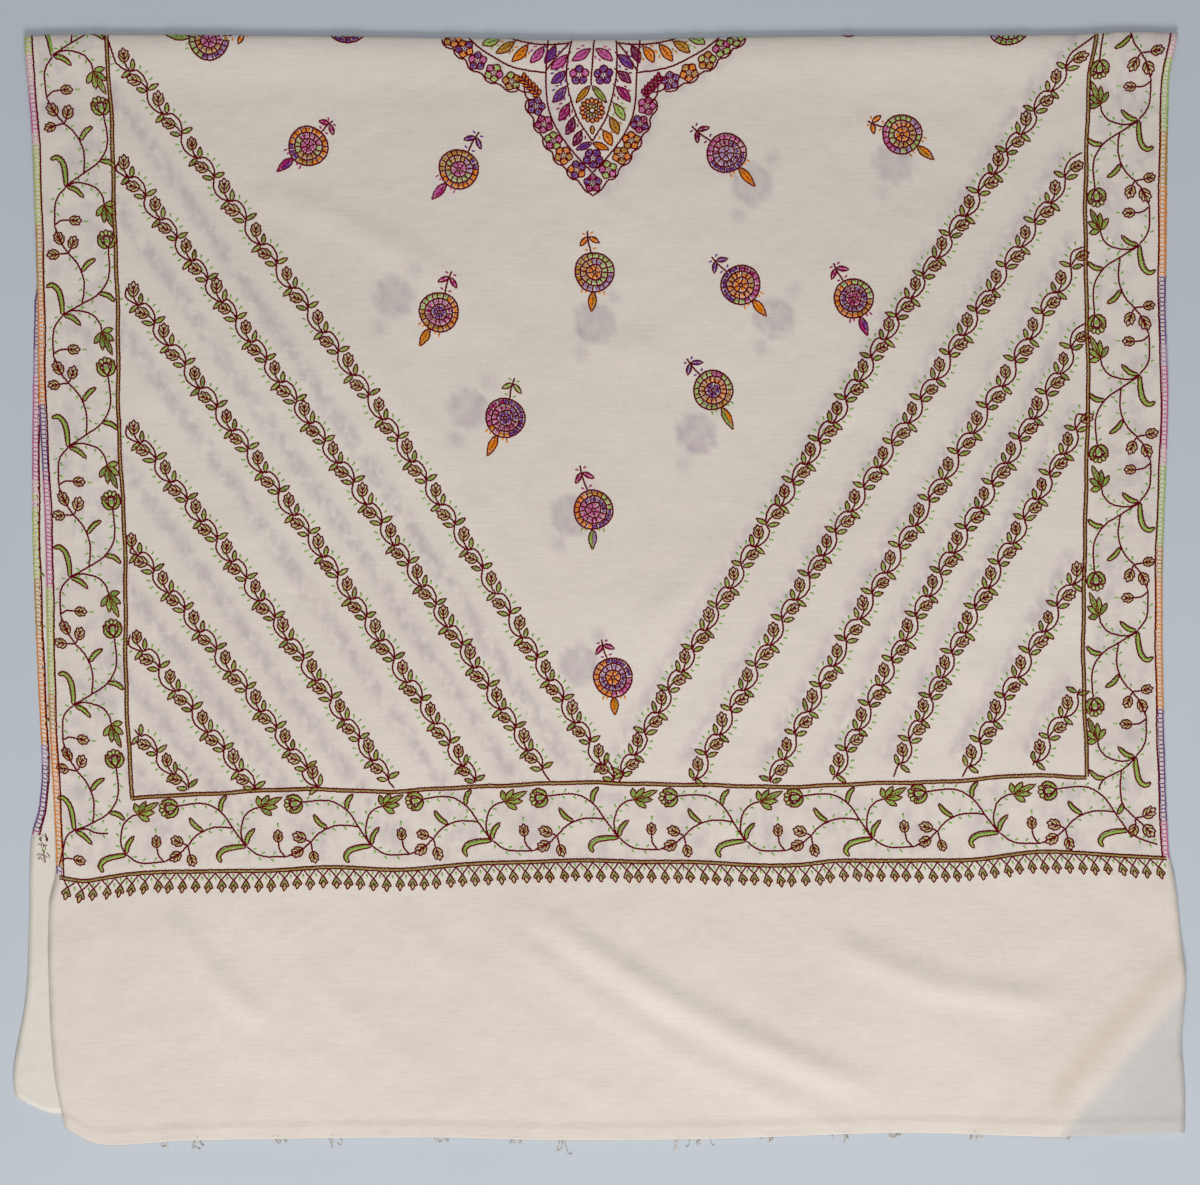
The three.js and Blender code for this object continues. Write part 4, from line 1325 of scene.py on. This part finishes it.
def sew_medallion(lines, fills):
    """Both sides of the medallion, and what stands on its middle line."""
    medallion_side(lines, fills, 1)
    medallion_side(lines, fills, -1)
    middle = (MEDALLION_MIDDLE, 0)
    lines.sew(np.add(MIDDLE_STEM, middle), "maroon")
    spot, first, second = BAND_TIP
    five_petals(lines, fills, np.add(spot, middle), BAND_RADIUS, first, second, 0.9)
    five_petals(lines, fills, np.add(FOOT_FLOWER, middle), FOOT_FLOWER_RADIUS, "purple", "purple",
                0.3)
    rosette(lines, fills, np.add(ROSETTE, middle), ROSETTE_RADIUS, ROSETTE_PETALS, "orange",
            "pale green")
    base, tip = np.add(UNDER_ROSETTE, middle)
    leaf(lines, fills, base, tip, 3.8, "ochre")


# What shows through the upper half of the under half's stitching: middles of its flowers
SHADOW_FLOWERS = [(-188, 234), (-122, 334), (-30, 428), (-23, 562), (84, 356), (156, 253),
                  (137, 133), (265, 115), (-7, 255)]
MEDALLION_SHADOW = (3, 14)
LEFT_SHADOW = (-17, 20)
RIGHT_SHADOW = (-9, -12)

# How strong each part of it is, from 0 to 1, and where a flower's two sprays lie from its middle
DISC_STRENGTH = 0.6
RIM_STRENGTH = 0.25
SPRAY_STRENGTH = 0.5
VINE_STRENGTH = 0.7
MEDALLION_STRENGTH = 0.55
BORDER_STRENGTH = 0.6
SPRAYS = [(18, -24), (-12, 27)]


def flowers_through(across, down):
    """How strongly the flowers of the layer below show at each place, from 0 to 1."""
    mask = np.zeros_like(across)
    for spot in SHADOW_FLOWERS:
        apart = np.hypot(across - spot[0], down - spot[1])
        rim = RIM_STRENGTH * hill(apart - 16, 4)
        mask = np.maximum(mask, DISC_STRENGTH * (1 - ease(apart, 15, 21)) + rim)
        for aside, below in SPRAYS:
            spray = np.hypot(across - spot[0] - aside, down - spot[1] - below)
            mask = np.maximum(mask, SPRAY_STRENGTH * (1 - ease(spray, 2, 11)))
    return mask


def vines_through(across, down):
    mask = np.zeros_like(across)
    for vines, shift in ((LEFT_VINES, LEFT_SHADOW), (RIGHT_VINES, RIGHT_SHADOW)):
        for row in vines:
            line = Line(row.across + shift[0], row.down + shift[1], row.to_across + shift[0],
                        row.to_down + shift[1], 0, 0, 0)
            along, aside = beside(line, across, down)
            inside = ease(along, -0.02, 0.03) * (1 - ease(along, 0.97, 1.02))
            mask = np.maximum(mask, VINE_STRENGTH * hill(aside, 14) * inside)
    return mask


def medallion_through(across, down):
    mask = np.zeros_like(across)
    for edge in (POINTED_EDGE, LOBE_EDGE):
        route, _ = evenly(smooth(edge), 9)
        for side in (1, -1):
            for spot in route * (side, 1) + MEDALLION_SHADOW:
                near = 1 - ease(np.hypot(across - spot[0], down - spot[1]), 3, 14)
                mask = np.maximum(mask, MEDALLION_STRENGTH * near)
    return mask


def border_through(across, down):
    border = (np.abs(across) > 446) | (down > follow(FRAME_END, across) + 6)
    border = border & (down < 742) & (np.abs(across) < 500)
    blotch = 0.5 + 0.5 * np.sin(across / 11.0 + 2.1 * np.sin(down / 17)) * np.sin(down / 13.0)
    return np.where(border, BORDER_STRENGTH * blotch, 0)


def shown_through(across, down):
    """How strongly the vines, medallion and border of the layer below show, from 0 to 1."""
    vines = vines_through(across, down)
    medallion = medallion_through(across, down)
    return np.maximum(np.maximum(vines, medallion), border_through(across, down))


# Materials

def to_linear(colour):
    share = np.array(colour) / 255
    return tuple(np.where(share <= 0.04045, share / 12.92, ((share + 0.055) / 1.055) ** 2.4))


def new_group(name, inputs, outputs):
    """An empty shader node group with number inputs and named outputs."""
    group = bpy.data.node_groups.new(name, "ShaderNodeTree")
    for label, value in inputs:
        socket = group.interface.new_socket(label, in_out="INPUT", socket_type="NodeSocketFloat")
        socket.default_value = value
    for label, kind in outputs:
        group.interface.new_socket(label, in_out="OUTPUT", socket_type=kind)
    return group, group.nodes.new("NodeGroupInput"), group.nodes.new("NodeGroupOutput")


def add(tree, kind, values=None, **settings):
    """A node with its settings, and its unlinked inputs by number or name."""
    node = tree.nodes.new(kind)
    for key, value in settings.items():
        setattr(node, key, value)
    for key, value in (values or {}).items():
        node.inputs[key].default_value = value
    return node


def math_node(tree, operation, first, second):
    """A sum on two values, each a number or a socket."""
    node = add(tree, "ShaderNodeMath", operation=operation)
    for k, value in enumerate((first, second)):
        if isinstance(value, (int, float)):
            node.inputs[k].default_value = value
        else:
            tree.links.new(value, node.inputs[k])
    return node.outputs[0]


def stretched_noise(tree, scale, detail=2.0):
    """Noise on the object's own coordinates, drawn out by a different scale each way."""
    coordinates = add(tree, "ShaderNodeTexCoord")
    stretch = add(tree, "ShaderNodeVectorMath", operation="MULTIPLY")
    stretch.inputs[1].default_value = scale
    tree.links.new(coordinates.outputs["Object"], stretch.inputs[0])
    noise = add(tree, "ShaderNodeTexNoise", {"Scale": 1.0, "Detail": detail})
    tree.links.new(stretch.outputs[0], noise.inputs["Vector"])
    return noise.outputs[0]


def weave_group():
    """Plain weave: over and under threads with slubs. Tone is near 0, Height near 0.5."""
    group, entry, exit_ = new_group(
        "plain_weave",
        [("Threads per metre", 1300.0), ("Slub", 1.0)],
        [("Tone", "NodeSocketFloat"), ("Height", "NodeSocketFloat")],
    )
    coordinates = add(group, "ShaderNodeTexCoord")
    parts = add(group, "ShaderNodeSeparateXYZ")
    group.links.new(coordinates.outputs["Object"], parts.inputs[0])
    turn = math_node(group, "MULTIPLY", entry.outputs["Threads per metre"], math.pi)
    warp = math_node(group, "SINE", math_node(group, "MULTIPLY", parts.outputs[0], turn), 0)
    weft = math_node(group, "SINE", math_node(group, "MULTIPLY", parts.outputs[1], turn), 0)
    crossing = math_node(group, "MULTIPLY", warp, weft)
    weft_slub = stretched_noise(group, (34, 760, 34))
    warp_slub = stretched_noise(group, (760, 34, 34))
    faint = math_node(group, "MULTIPLY", warp_slub, 0.4)
    slub = math_node(group, "SUBTRACT", math_node(group, "ADD", weft_slub, faint), 0.7)
    strong = math_node(group, "MULTIPLY", slub, entry.outputs["Slub"])
    group.links.new(strong, exit_.inputs["Tone"])
    lifted = math_node(group, "MULTIPLY", crossing, 0.35)
    height = math_node(group, "ADD", math_node(group, "ADD", lifted, strong), 0.5)
    group.links.new(height, exit_.inputs["Height"])
    return group


def rumple_group():
    """Soft crumples of a few centimetres, as cloth keeps from being folded and handled."""
    group, entry, exit_ = new_group(
        "soft_rumple",
        [("Strength", 1.0)],
        [("Tone", "NodeSocketFloat"), ("Height", "NodeSocketFloat")],
    )
    coarse = stretched_noise(group, (26, 20, 20), 3.0)
    fine = stretched_noise(group, (90, 70, 70), 3.0)
    both = math_node(group, "ADD", coarse, math_node(group, "MULTIPLY", fine, 0.35))
    group.links.new(math_node(group, "MULTIPLY", both, entry.outputs["Strength"]),
                    exit_.inputs["Height"])
    wide = stretched_noise(group, (4, 5, 4))
    group.links.new(math_node(group, "SUBTRACT", wide, 0.5), exit_.inputs["Tone"])
    return group


def dye_ramp(tree, row):
    """The dye of each row of the threads' map."""
    ramp = add(tree, "ShaderNodeValToRGB")
    ramp.color_ramp.interpolation = "CONSTANT"
    elements = ramp.color_ramp.elements
    elements.remove(elements[1])
    for k, name in enumerate(DYE_NAMES):
        element = elements.new(k / len(DYES)) if k else elements[0]
        element.color = (*to_linear(DYES[name]), 1)
    tree.links.new(row, ramp.inputs[0])
    return ramp.outputs[0]


def thread_group():
    """Twisted thread sewn in short stitches, read from the thread's own map, with painted shade in
    the groove between one stitch and the next.
    """
    group, entry, exit_ = new_group(
        "sewn_thread",
        [("Stitches", 4.0), ("Depth", 1.0)],
        [("Colour", "NodeSocketColor"), ("Height", "NodeSocketFloat")],
    )
    thread_map = add(group, "ShaderNodeUVMap", uv_map="OFBake")
    parts = add(group, "ShaderNodeSeparateXYZ")
    group.links.new(thread_map.outputs[0], parts.inputs[0])
    dye = dye_ramp(group, parts.outputs[1])
    rows = math_node(group, "MULTIPLY", parts.outputs[1], len(DYES))
    shade = math_node(group, "FRACT", rows, 0)
    stitch = math_node(group, "FRACT",
                       math_node(group, "MULTIPLY", parts.outputs[0], entry.outputs["Stitches"]), 0)
    arch = math_node(group, "SINE", math_node(group, "MULTIPLY", stitch, math.pi), 0)
    notch = math_node(group, "POWER", arch, 0.4)
    fibre = stretched_noise(group, (1500, 1500, 1500))
    light = math_node(group, "ADD", math_node(group, "MULTIPLY", shade, 0.30), 0.80)
    # Painted shade: the colour darkens towards the groove between one stitch and the next
    stitch_groove_shade = math_node(group, "MULTIPLY_ADD", notch, 0.3)
    stitch_groove_shade.node.inputs[2].default_value = 0.72
    tone = math_node(group, "MULTIPLY", light, stitch_groove_shade)
    tone = math_node(group, "ADD", tone, math_node(group, "MULTIPLY", fibre, 0.12))
    colour = add(group, "ShaderNodeVectorMath", operation="SCALE")
    group.links.new(dye, colour.inputs[0])
    group.links.new(tone, colour.inputs["Scale"])
    group.links.new(colour.outputs[0], exit_.inputs["Colour"])
    deep = math_node(group, "MULTIPLY", notch, entry.outputs["Depth"])
    group.links.new(math_node(group, "ADD", deep, math_node(group, "MULTIPLY", fibre, 0.5)),
                    exit_.inputs["Height"])
    return group


def place_group(tree, group, values):
    node = add(tree, "ShaderNodeGroup")
    node.node_tree = group
    for key, value in values.items():
        node.inputs[key].default_value = value
    return node


SHINE = 0.08


def new_material(name, roughness, sheen=0.0):
    """A matt material, with the fine hairs' sheen of cloth if it has any."""
    material = bpy.data.materials.new(name)
    material.use_nodes = True
    tree = material.node_tree
    shader = tree.nodes["Principled BSDF"]
    shader.inputs["Roughness"].default_value = roughness
    shader.inputs["Specular IOR Level"].default_value = SHINE
    shader.inputs["Sheen Weight"].default_value = sheen
    shader.inputs["Sheen Roughness"].default_value = 0.5
    return material, tree, shader


def mix_colours(tree, share, first, second):
    """A mix of two colours, each a fixed colour or a socket, by a share from a socket."""
    node = add(tree, "ShaderNodeMix", data_type="RGBA")
    tree.links.new(share, node.inputs[0])
    for key, value in ((6, first), (7, second)):
        if isinstance(value, tuple):
            node.inputs[key].default_value = (*value, 1)
        else:
            tree.links.new(value, node.inputs[key])
    return node.outputs[2]


def tint_by_layers_and_shade(tree, colour):
    """The face's colour where stitches or no second layer lie below it, and a painted warm shade in
    a band along the turned corner's flap.
    """
    through = add(tree, "ShaderNodeAttribute", attribute_name="shown_through")
    speckle = stretched_noise(tree, (120, 84, 100), 3.0)
    uneven = math_node(tree, "MULTIPLY_ADD", speckle, 3.4)
    uneven.node.inputs[2].default_value = -1.15
    uneven.node.use_clamp = True
    share = math_node(tree, "MULTIPLY", through.outputs["Fac"], uneven)
    disc = add(tree, "ShaderNodeAttribute", attribute_name="flowers_through")
    soft = math_node(tree, "MULTIPLY", speckle, 1.7)
    share = math_node(tree, "MAXIMUM", share,
                      math_node(tree, "MULTIPLY", disc.outputs["Fac"], soft))
    colour = mix_colours(tree, share, colour, to_linear(STITCHES_BELOW))
    # The first tint is where no second layer lies below; the second is a painted warm shade along
    # the turned corner's flap
    for name, tint in (("single_layer", SINGLE_LAYER), ("flap_ridge_shade", FLAP_RIDGE_SHADE)):
        layer = add(tree, "ShaderNodeAttribute", attribute_name=name)
        colour = mix_colours(tree, layer.outputs["Fac"], colour, to_linear(tint))
    return colour


def wool_material(name, light, dark, weave, rumple, layers_and_shade):
    """Fine wool cloth: weave, slubs and soft rumples, and on its face what lies below it and a
    painted warm shade along the turned corner's flap.
    """
    material, tree, shader = new_material(name, 0.92, 0.12)
    threads = place_group(tree, weave, {"Threads per metre": 1250.0, "Slub": 1.0})
    crumple = place_group(tree, rumple, {"Strength": 1.0})
    tone = math_node(tree, "MULTIPLY_ADD", threads.outputs["Tone"], 0.9)
    tone.node.inputs[2].default_value = 0.5
    tone = math_node(tree, "ADD", tone, math_node(tree, "MULTIPLY", crumple.outputs["Tone"], 0.9))
    colour = mix_colours(tree, tone, to_linear(dark), to_linear(light))
    if layers_and_shade:
        colour = tint_by_layers_and_shade(tree, colour)
    tree.links.new(colour, shader.inputs["Base Color"])
    fine = add(tree, "ShaderNodeBump", {"Strength": 0.35, "Distance": 0.0004})
    tree.links.new(threads.outputs["Height"], fine.inputs["Height"])
    broad = add(tree, "ShaderNodeBump", {"Strength": 0.5, "Distance": 0.004})
    tree.links.new(crumple.outputs["Height"], broad.inputs["Height"])
    tree.links.new(broad.outputs[0], fine.inputs["Normal"])
    tree.links.new(fine.outputs[0], shader.inputs["Normal"])
    return material


def thread_material(name, group, roughness, depth):
    """Embroidery thread: its own dye, stitch notches with painted shade in them, and fibres."""
    material, tree, shader = new_material(name, roughness)
    thread = place_group(tree, group, {"Stitches": 4.0, "Depth": depth})
    tree.links.new(thread.outputs["Colour"], shader.inputs["Base Color"])
    bump = add(tree, "ShaderNodeBump", {"Strength": 0.6, "Distance": 0.0005})
    tree.links.new(thread.outputs["Height"], bump.inputs["Height"])
    tree.links.new(bump.outputs[0], shader.inputs["Normal"])
    return material


# The cloth itself

ACROSS_LINES = np.linspace(-CLOTH_WIDTH / 2, CLOTH_WIDTH / 2, 172)
HEM_START = HALF_LENGTH - HEM_WIDTH
UPPER_LINES = np.concatenate([
    [ROLL_SPAN + 2.5], np.arange(ROLL_SPAN + 6, HEM_START - 3, 5.95),
    [HEM_START - HEM_SOFT, HEM_START + HEM_SOFT, HALF_LENGTH - 9, HALF_LENGTH - 4.5,
     HALF_LENGTH - 0.8, HALF_LENGTH],
])
ROLL_ROWS = 25


def roll_row(turn, within=0.0):
    """A row of points round the roll of the fold, on its face or some way within it."""
    level = np.full_like(ACROSS_LINES, ROLL_SPAN * (1 - math.cos(turn)))
    x = lay(UPPER, ACROSS_LINES, level)[0]
    y = follow(FOLD_LINE, ACROSS_LINES) - ROLL_SPAN + (ROLL_SPAN - within) * math.cos(turn)
    z = np.full_like(ACROSS_LINES, ROLL_HEIGHT + (ROLL_HEIGHT - within) * math.sin(turn))
    return np.stack([x, y, z], -1)


def upper_rows():
    """The rows of the upper half's face and back, and how far down the cloth each one lies."""
    face, back, downs = [], [], []
    for reach in (ROLL_LIP, ROLL_LIP / 2):
        lip = roll_row(-math.pi / 2) - (0, reach, 0)
        face.append(lip)
        back.append(lip + (0, 0, CLOTH))
        downs.append(0)
    for turn in np.linspace(-math.pi / 2, math.pi / 2, ROLL_ROWS):
        face.append(roll_row(turn))
        back.append(roll_row(turn, CLOTH))
        downs.append(0)
    for down in UPPER_LINES:
        top = upper_point(ACROSS_LINES, np.full_like(ACROSS_LINES, down))
        hem = HEM_RISE if down > HEM_START else 0
        face.append(top)
        back.append(top - (0, 0, CLOTH + hem))
        downs.append(down)
    return np.array(face), np.array(back), np.array(downs, float)


def layers_and_flap_shade(across, down):
    """How far each place lies over one layer of cloth alone, and how strong the painted warm shade
    is in a band along the turned corner's flap.
    """
    x, y = lay(UPPER, across, down)
    outside = -beside(TURN_FOLD, x, y)[1]
    single = ease(outside, -1, 13) * ease(down, 800, 860) * 0.9
    # Painted warm shade in a band inside the turned corner's ridge, over its flap
    flap = 0.85 * hill(-outside - 22, 19)
    flap = flap * ease(x, FLAP_LEFT - 5, FLAP_LEFT + 4) * ease(down, 810, 870)
    return single, flap


def make_upper_cloth(material):
    """The upper half, from the lip under the fold, round its soft roll, to the turned hem."""
    face, back, downs = upper_rows()
    piece = shell("upper_cloth", face, back, material)
    down, across = np.meshgrid(downs, ACROSS_LINES, indexing="ij")
    single, flap = layers_and_flap_shade(across, down)
    marks = {
        "shown_through": shown_through(across, down),
        "flowers_through": flowers_through(across, down),
        "single_layer": single,
        # Painted warm shade along the turned corner's flap
        "flap_ridge_shade": flap,
    }
    for name, values in marks.items():
        attribute = piece.data.attributes.new(name, "FLOAT", "POINT")
        both = np.concatenate([values.ravel(), np.zeros(values.size)])
        attribute.data.foreach_set("value", both.astype(np.float32))
    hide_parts("upper_half")
    return piece


UNDER_ACROSS = np.concatenate([np.arange(-510, -450, 5), np.linspace(-450, 510, 45)])
UNDER_DOWN = np.concatenate([[UNDER_START], np.linspace(30, 720, 40), np.arange(728, 990, 8),
                             [HALF_LENGTH]])

# The left edge of the under half below its ladder stitch, where nothing holds it flat
LOOSE_LIFT = 1.1
LOOSE_WAVE = 19


def make_under_cloth(material):
    """The under half, wrong side up on the ground."""
    down, across = np.meshgrid(UNDER_DOWN, UNDER_ACROSS, indexing="ij")
    x, y = lay(UNDER, across, down)
    loose = ease(-across, 470, 508) * ease(down, 740, 800)
    lift = loose * (0.5 + 0.5 * np.sin(down / LOOSE_WAVE)) * LOOSE_LIFT
    face = np.stack([x, y, CLOTH + lift], -1)
    back = np.stack([x, y, lift * 0.6], -1)
    piece = shell("under_cloth", face, back, material)
    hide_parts("under_half")
    return piece


# The turned corner: the radius of its fold, and how its flap slants and where it is cut off
CORNER_RADIUS = 0.75
CORNER_COLUMNS = 30
FLAP_SLANT_LOW = 0.35
FLAP_SLANT_HIGH = 0.3
FLAP_PAST = 4


def make_turned_corner(material):
    """The turned-back corner: round its fold edge, and a flap on the under half."""
    start = np.array([TURN_FOLD.from_x, TURN_FOLD.from_y], float)
    run = np.array([TURN_FOLD.to_x, TURN_FOLD.to_y], float) - start
    length = np.hypot(*run)
    along = run / length
    inward = np.array([-along[1], along[0]])
    outer = CORNER_RADIUS + CLOTH / 2
    inner = CORNER_RADIUS - CLOTH / 2

    def row(spots, off, level):
        spot = start + spots[:, None] * along + inward * off
        return np.column_stack([spot, np.full(CORNER_COLUMNS, level)])

    face, back = [], []
    spots = np.linspace(0.0, length, CORNER_COLUMNS)
    for turn in np.linspace(-math.pi / 2, math.pi / 2, 7):
        face.append(row(spots, -outer * math.cos(turn), outer + outer * math.sin(turn)))
        back.append(row(spots, -inner * math.cos(turn), outer + inner * math.sin(turn)))
    for reach in np.linspace(6, TURN_FLAP, 6):
        low, high = -FLAP_SLANT_LOW * reach, length + FLAP_SLANT_HIGH * reach
        spots = np.minimum(np.linspace(low, high, CORNER_COLUMNS), length + FLAP_PAST)
        face.append(row(spots, reach, 2 * CORNER_RADIUS + CLOTH))
        back.append(row(spots, reach, 2 * CORNER_RADIUS))
    piece = shell("turned_corner_cloth", np.array(face), np.array(back), material)
    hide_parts("turned_corner")
    return piece


# Floor, light and camera

CAMERA_X = 0.77
CAMERA_Y = -4.23
VIEW_WIDTH = 1080.0
LENS = 85.0
SENSOR = 36.0
FLOOR_HALF = 6.0
FLOOR_LEVEL = -0.0003
Lamp = namedtuple("Lamp", "name place size power colour")
LAMPS = [
    Lamp("window_light", (0.15, -2.8, 2.1), 1.4, 79, (1, 0.99, 0.97)),
    Lamp("ceiling_light", (0, 0.1, 3.2), 3.0, 27, (0.97, 0.98, 1.0)),
]
SKY = (0.93, 0.96, 1.0, 1)
SKY_STRENGTH = 0.22


def make_floor():
    mesh = bpy.data.meshes.new("floor")
    half = FLOOR_HALF
    corners = [(-half, -half), (half, -half), (half, half), (-half, half)]
    mesh.from_pydata([(x, y, FLOOR_LEVEL) for x, y in corners], [], [(0, 1, 2, 3)])
    floor = bpy.data.objects.new("floor", mesh)
    bpy.context.scene.collection.objects.link(floor)
    material, tree, shader = new_material("pale_floor", 0.7)
    tone = stretched_noise(tree, (3, 3, 3))
    colour = mix_colours(tree, tone, to_linear(FLOOR_DARK), to_linear(FLOOR_LIGHT))
    tree.links.new(colour, shader.inputs["Base Color"])
    mesh.materials.append(material)


def add_light(lamp):
    """A round soft light that shines at the middle of the shawl."""
    data = bpy.data.lights.new(lamp.name, "AREA")
    data.shape = "DISK"
    data.size = lamp.size
    data.energy = lamp.power
    data.color = lamp.colour
    light = bpy.data.objects.new(lamp.name, data)
    light.location = lamp.place
    x, y, z = np.subtract((0, 0, 0), lamp.place)
    light.rotation_euler = (math.atan2(math.hypot(x, y), -z), 0, math.atan2(y, x) - math.pi / 2)
    bpy.context.scene.collection.objects.link(light)


def light_scene():
    for lamp in LAMPS:
        add_light(lamp)
    world = bpy.data.worlds.new("soft_studio")
    world.use_nodes = True
    background = world.node_tree.nodes["Background"]
    background.inputs["Color"].default_value = SKY
    background.inputs["Strength"].default_value = SKY_STRENGTH
    bpy.context.scene.world = world
    bpy.context.scene.view_settings.view_transform = "Standard"


def add_camera():
    """Straight above, as the photo was taken."""
    data = bpy.data.cameras.new("camera")
    data.lens = LENS
    data.sensor_width = SENSOR
    data.sensor_fit = "HORIZONTAL"
    camera = bpy.data.objects.new("camera", data)
    height = VIEW_WIDTH * LENS / SENSOR
    camera.location = (CAMERA_X * MM, CAMERA_Y * MM, height * MM)
    bpy.context.scene.collection.objects.link(camera)
    bpy.context.scene.camera = camera


# The embroidery, piece by piece, with the solids that each one stands for
Work = namedtuple("Work", "name slot sew surface nodes")
LEFT_SOLIDS = [f"vine_left_{k}" for k in range(1, 7)]
RIGHT_SOLIDS = [f"vine_right_{k}" for k in range(1, 7)]
FLOWER_SOLIDS = [f"motif_{k:02d}" for k in range(1, 13)]
EMBROIDERY = [
    Work("frame_lines", "leaf_thread", sew_frame, upper_point, ["frame_line"]),
    Work("bud_edging", "leaf_thread", sew_edging, upper_point, ["border_end"]),
    Work("vines_left", "leaf_thread", sew_left_vines, upper_point, LEFT_SOLIDS),
    Work("vines_right", "leaf_thread", sew_right_vines, upper_point, RIGHT_SOLIDS),
    Work("border_vine", "leaf_thread", sew_border, upper_point, []),
    Work("round_flowers", "flower_thread", sew_round_flowers, upper_point, FLOWER_SOLIDS),
    Work("medallion", "flower_thread", sew_medallion, upper_point, ["medallion"]),
    Work("edge_ladder", "flower_thread", sew_upper_ladders, upper_point, []),
    Work("under_ladder", "flower_thread", sew_under_ladders, under_point, []),
]


def make_embroidery(outline, coloured):
    """Every piece of embroidery: its maroon lines and its filling, and the fibres at the hem."""
    for work in EMBROIDERY:
        lines = Embroidery(work.name + "_outline", "outline_thread", work.surface)
        fills = Embroidery(work.name + "_filling", work.slot, work.surface)
        work.sew(lines, fills)
        made = lines.make(outline)
        fills.make(coloured)
        if work.nodes:
            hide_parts(*work.nodes)
    fibres = Embroidery("hem_fibres", "wool", hem_point)
    sew_hem_fibres(fibres)
    fibres.make(coloured)


def main():
    add_camera()
    light_scene()
    make_floor()
    weave, rumple, thread = weave_group(), rumple_group(), thread_group()
    wool = wool_material("wool_face", FACE_LIGHT, FACE_DARK, weave, rumple, True)
    wool_back = wool_material("wool_wrong_side", BACK_LIGHT, BACK_DARK, weave, rumple, False)
    outline = thread_material("outline_thread_maroon", thread, 0.75, 1.0)
    coloured = thread_material("filling_threads", thread, 0.7, 0.7)
    under = make_under_cloth(wool_back)
    corner = make_turned_corner(wool_back)
    upper = make_upper_cloth(wool)
    make_embroidery(outline, coloured)


main()
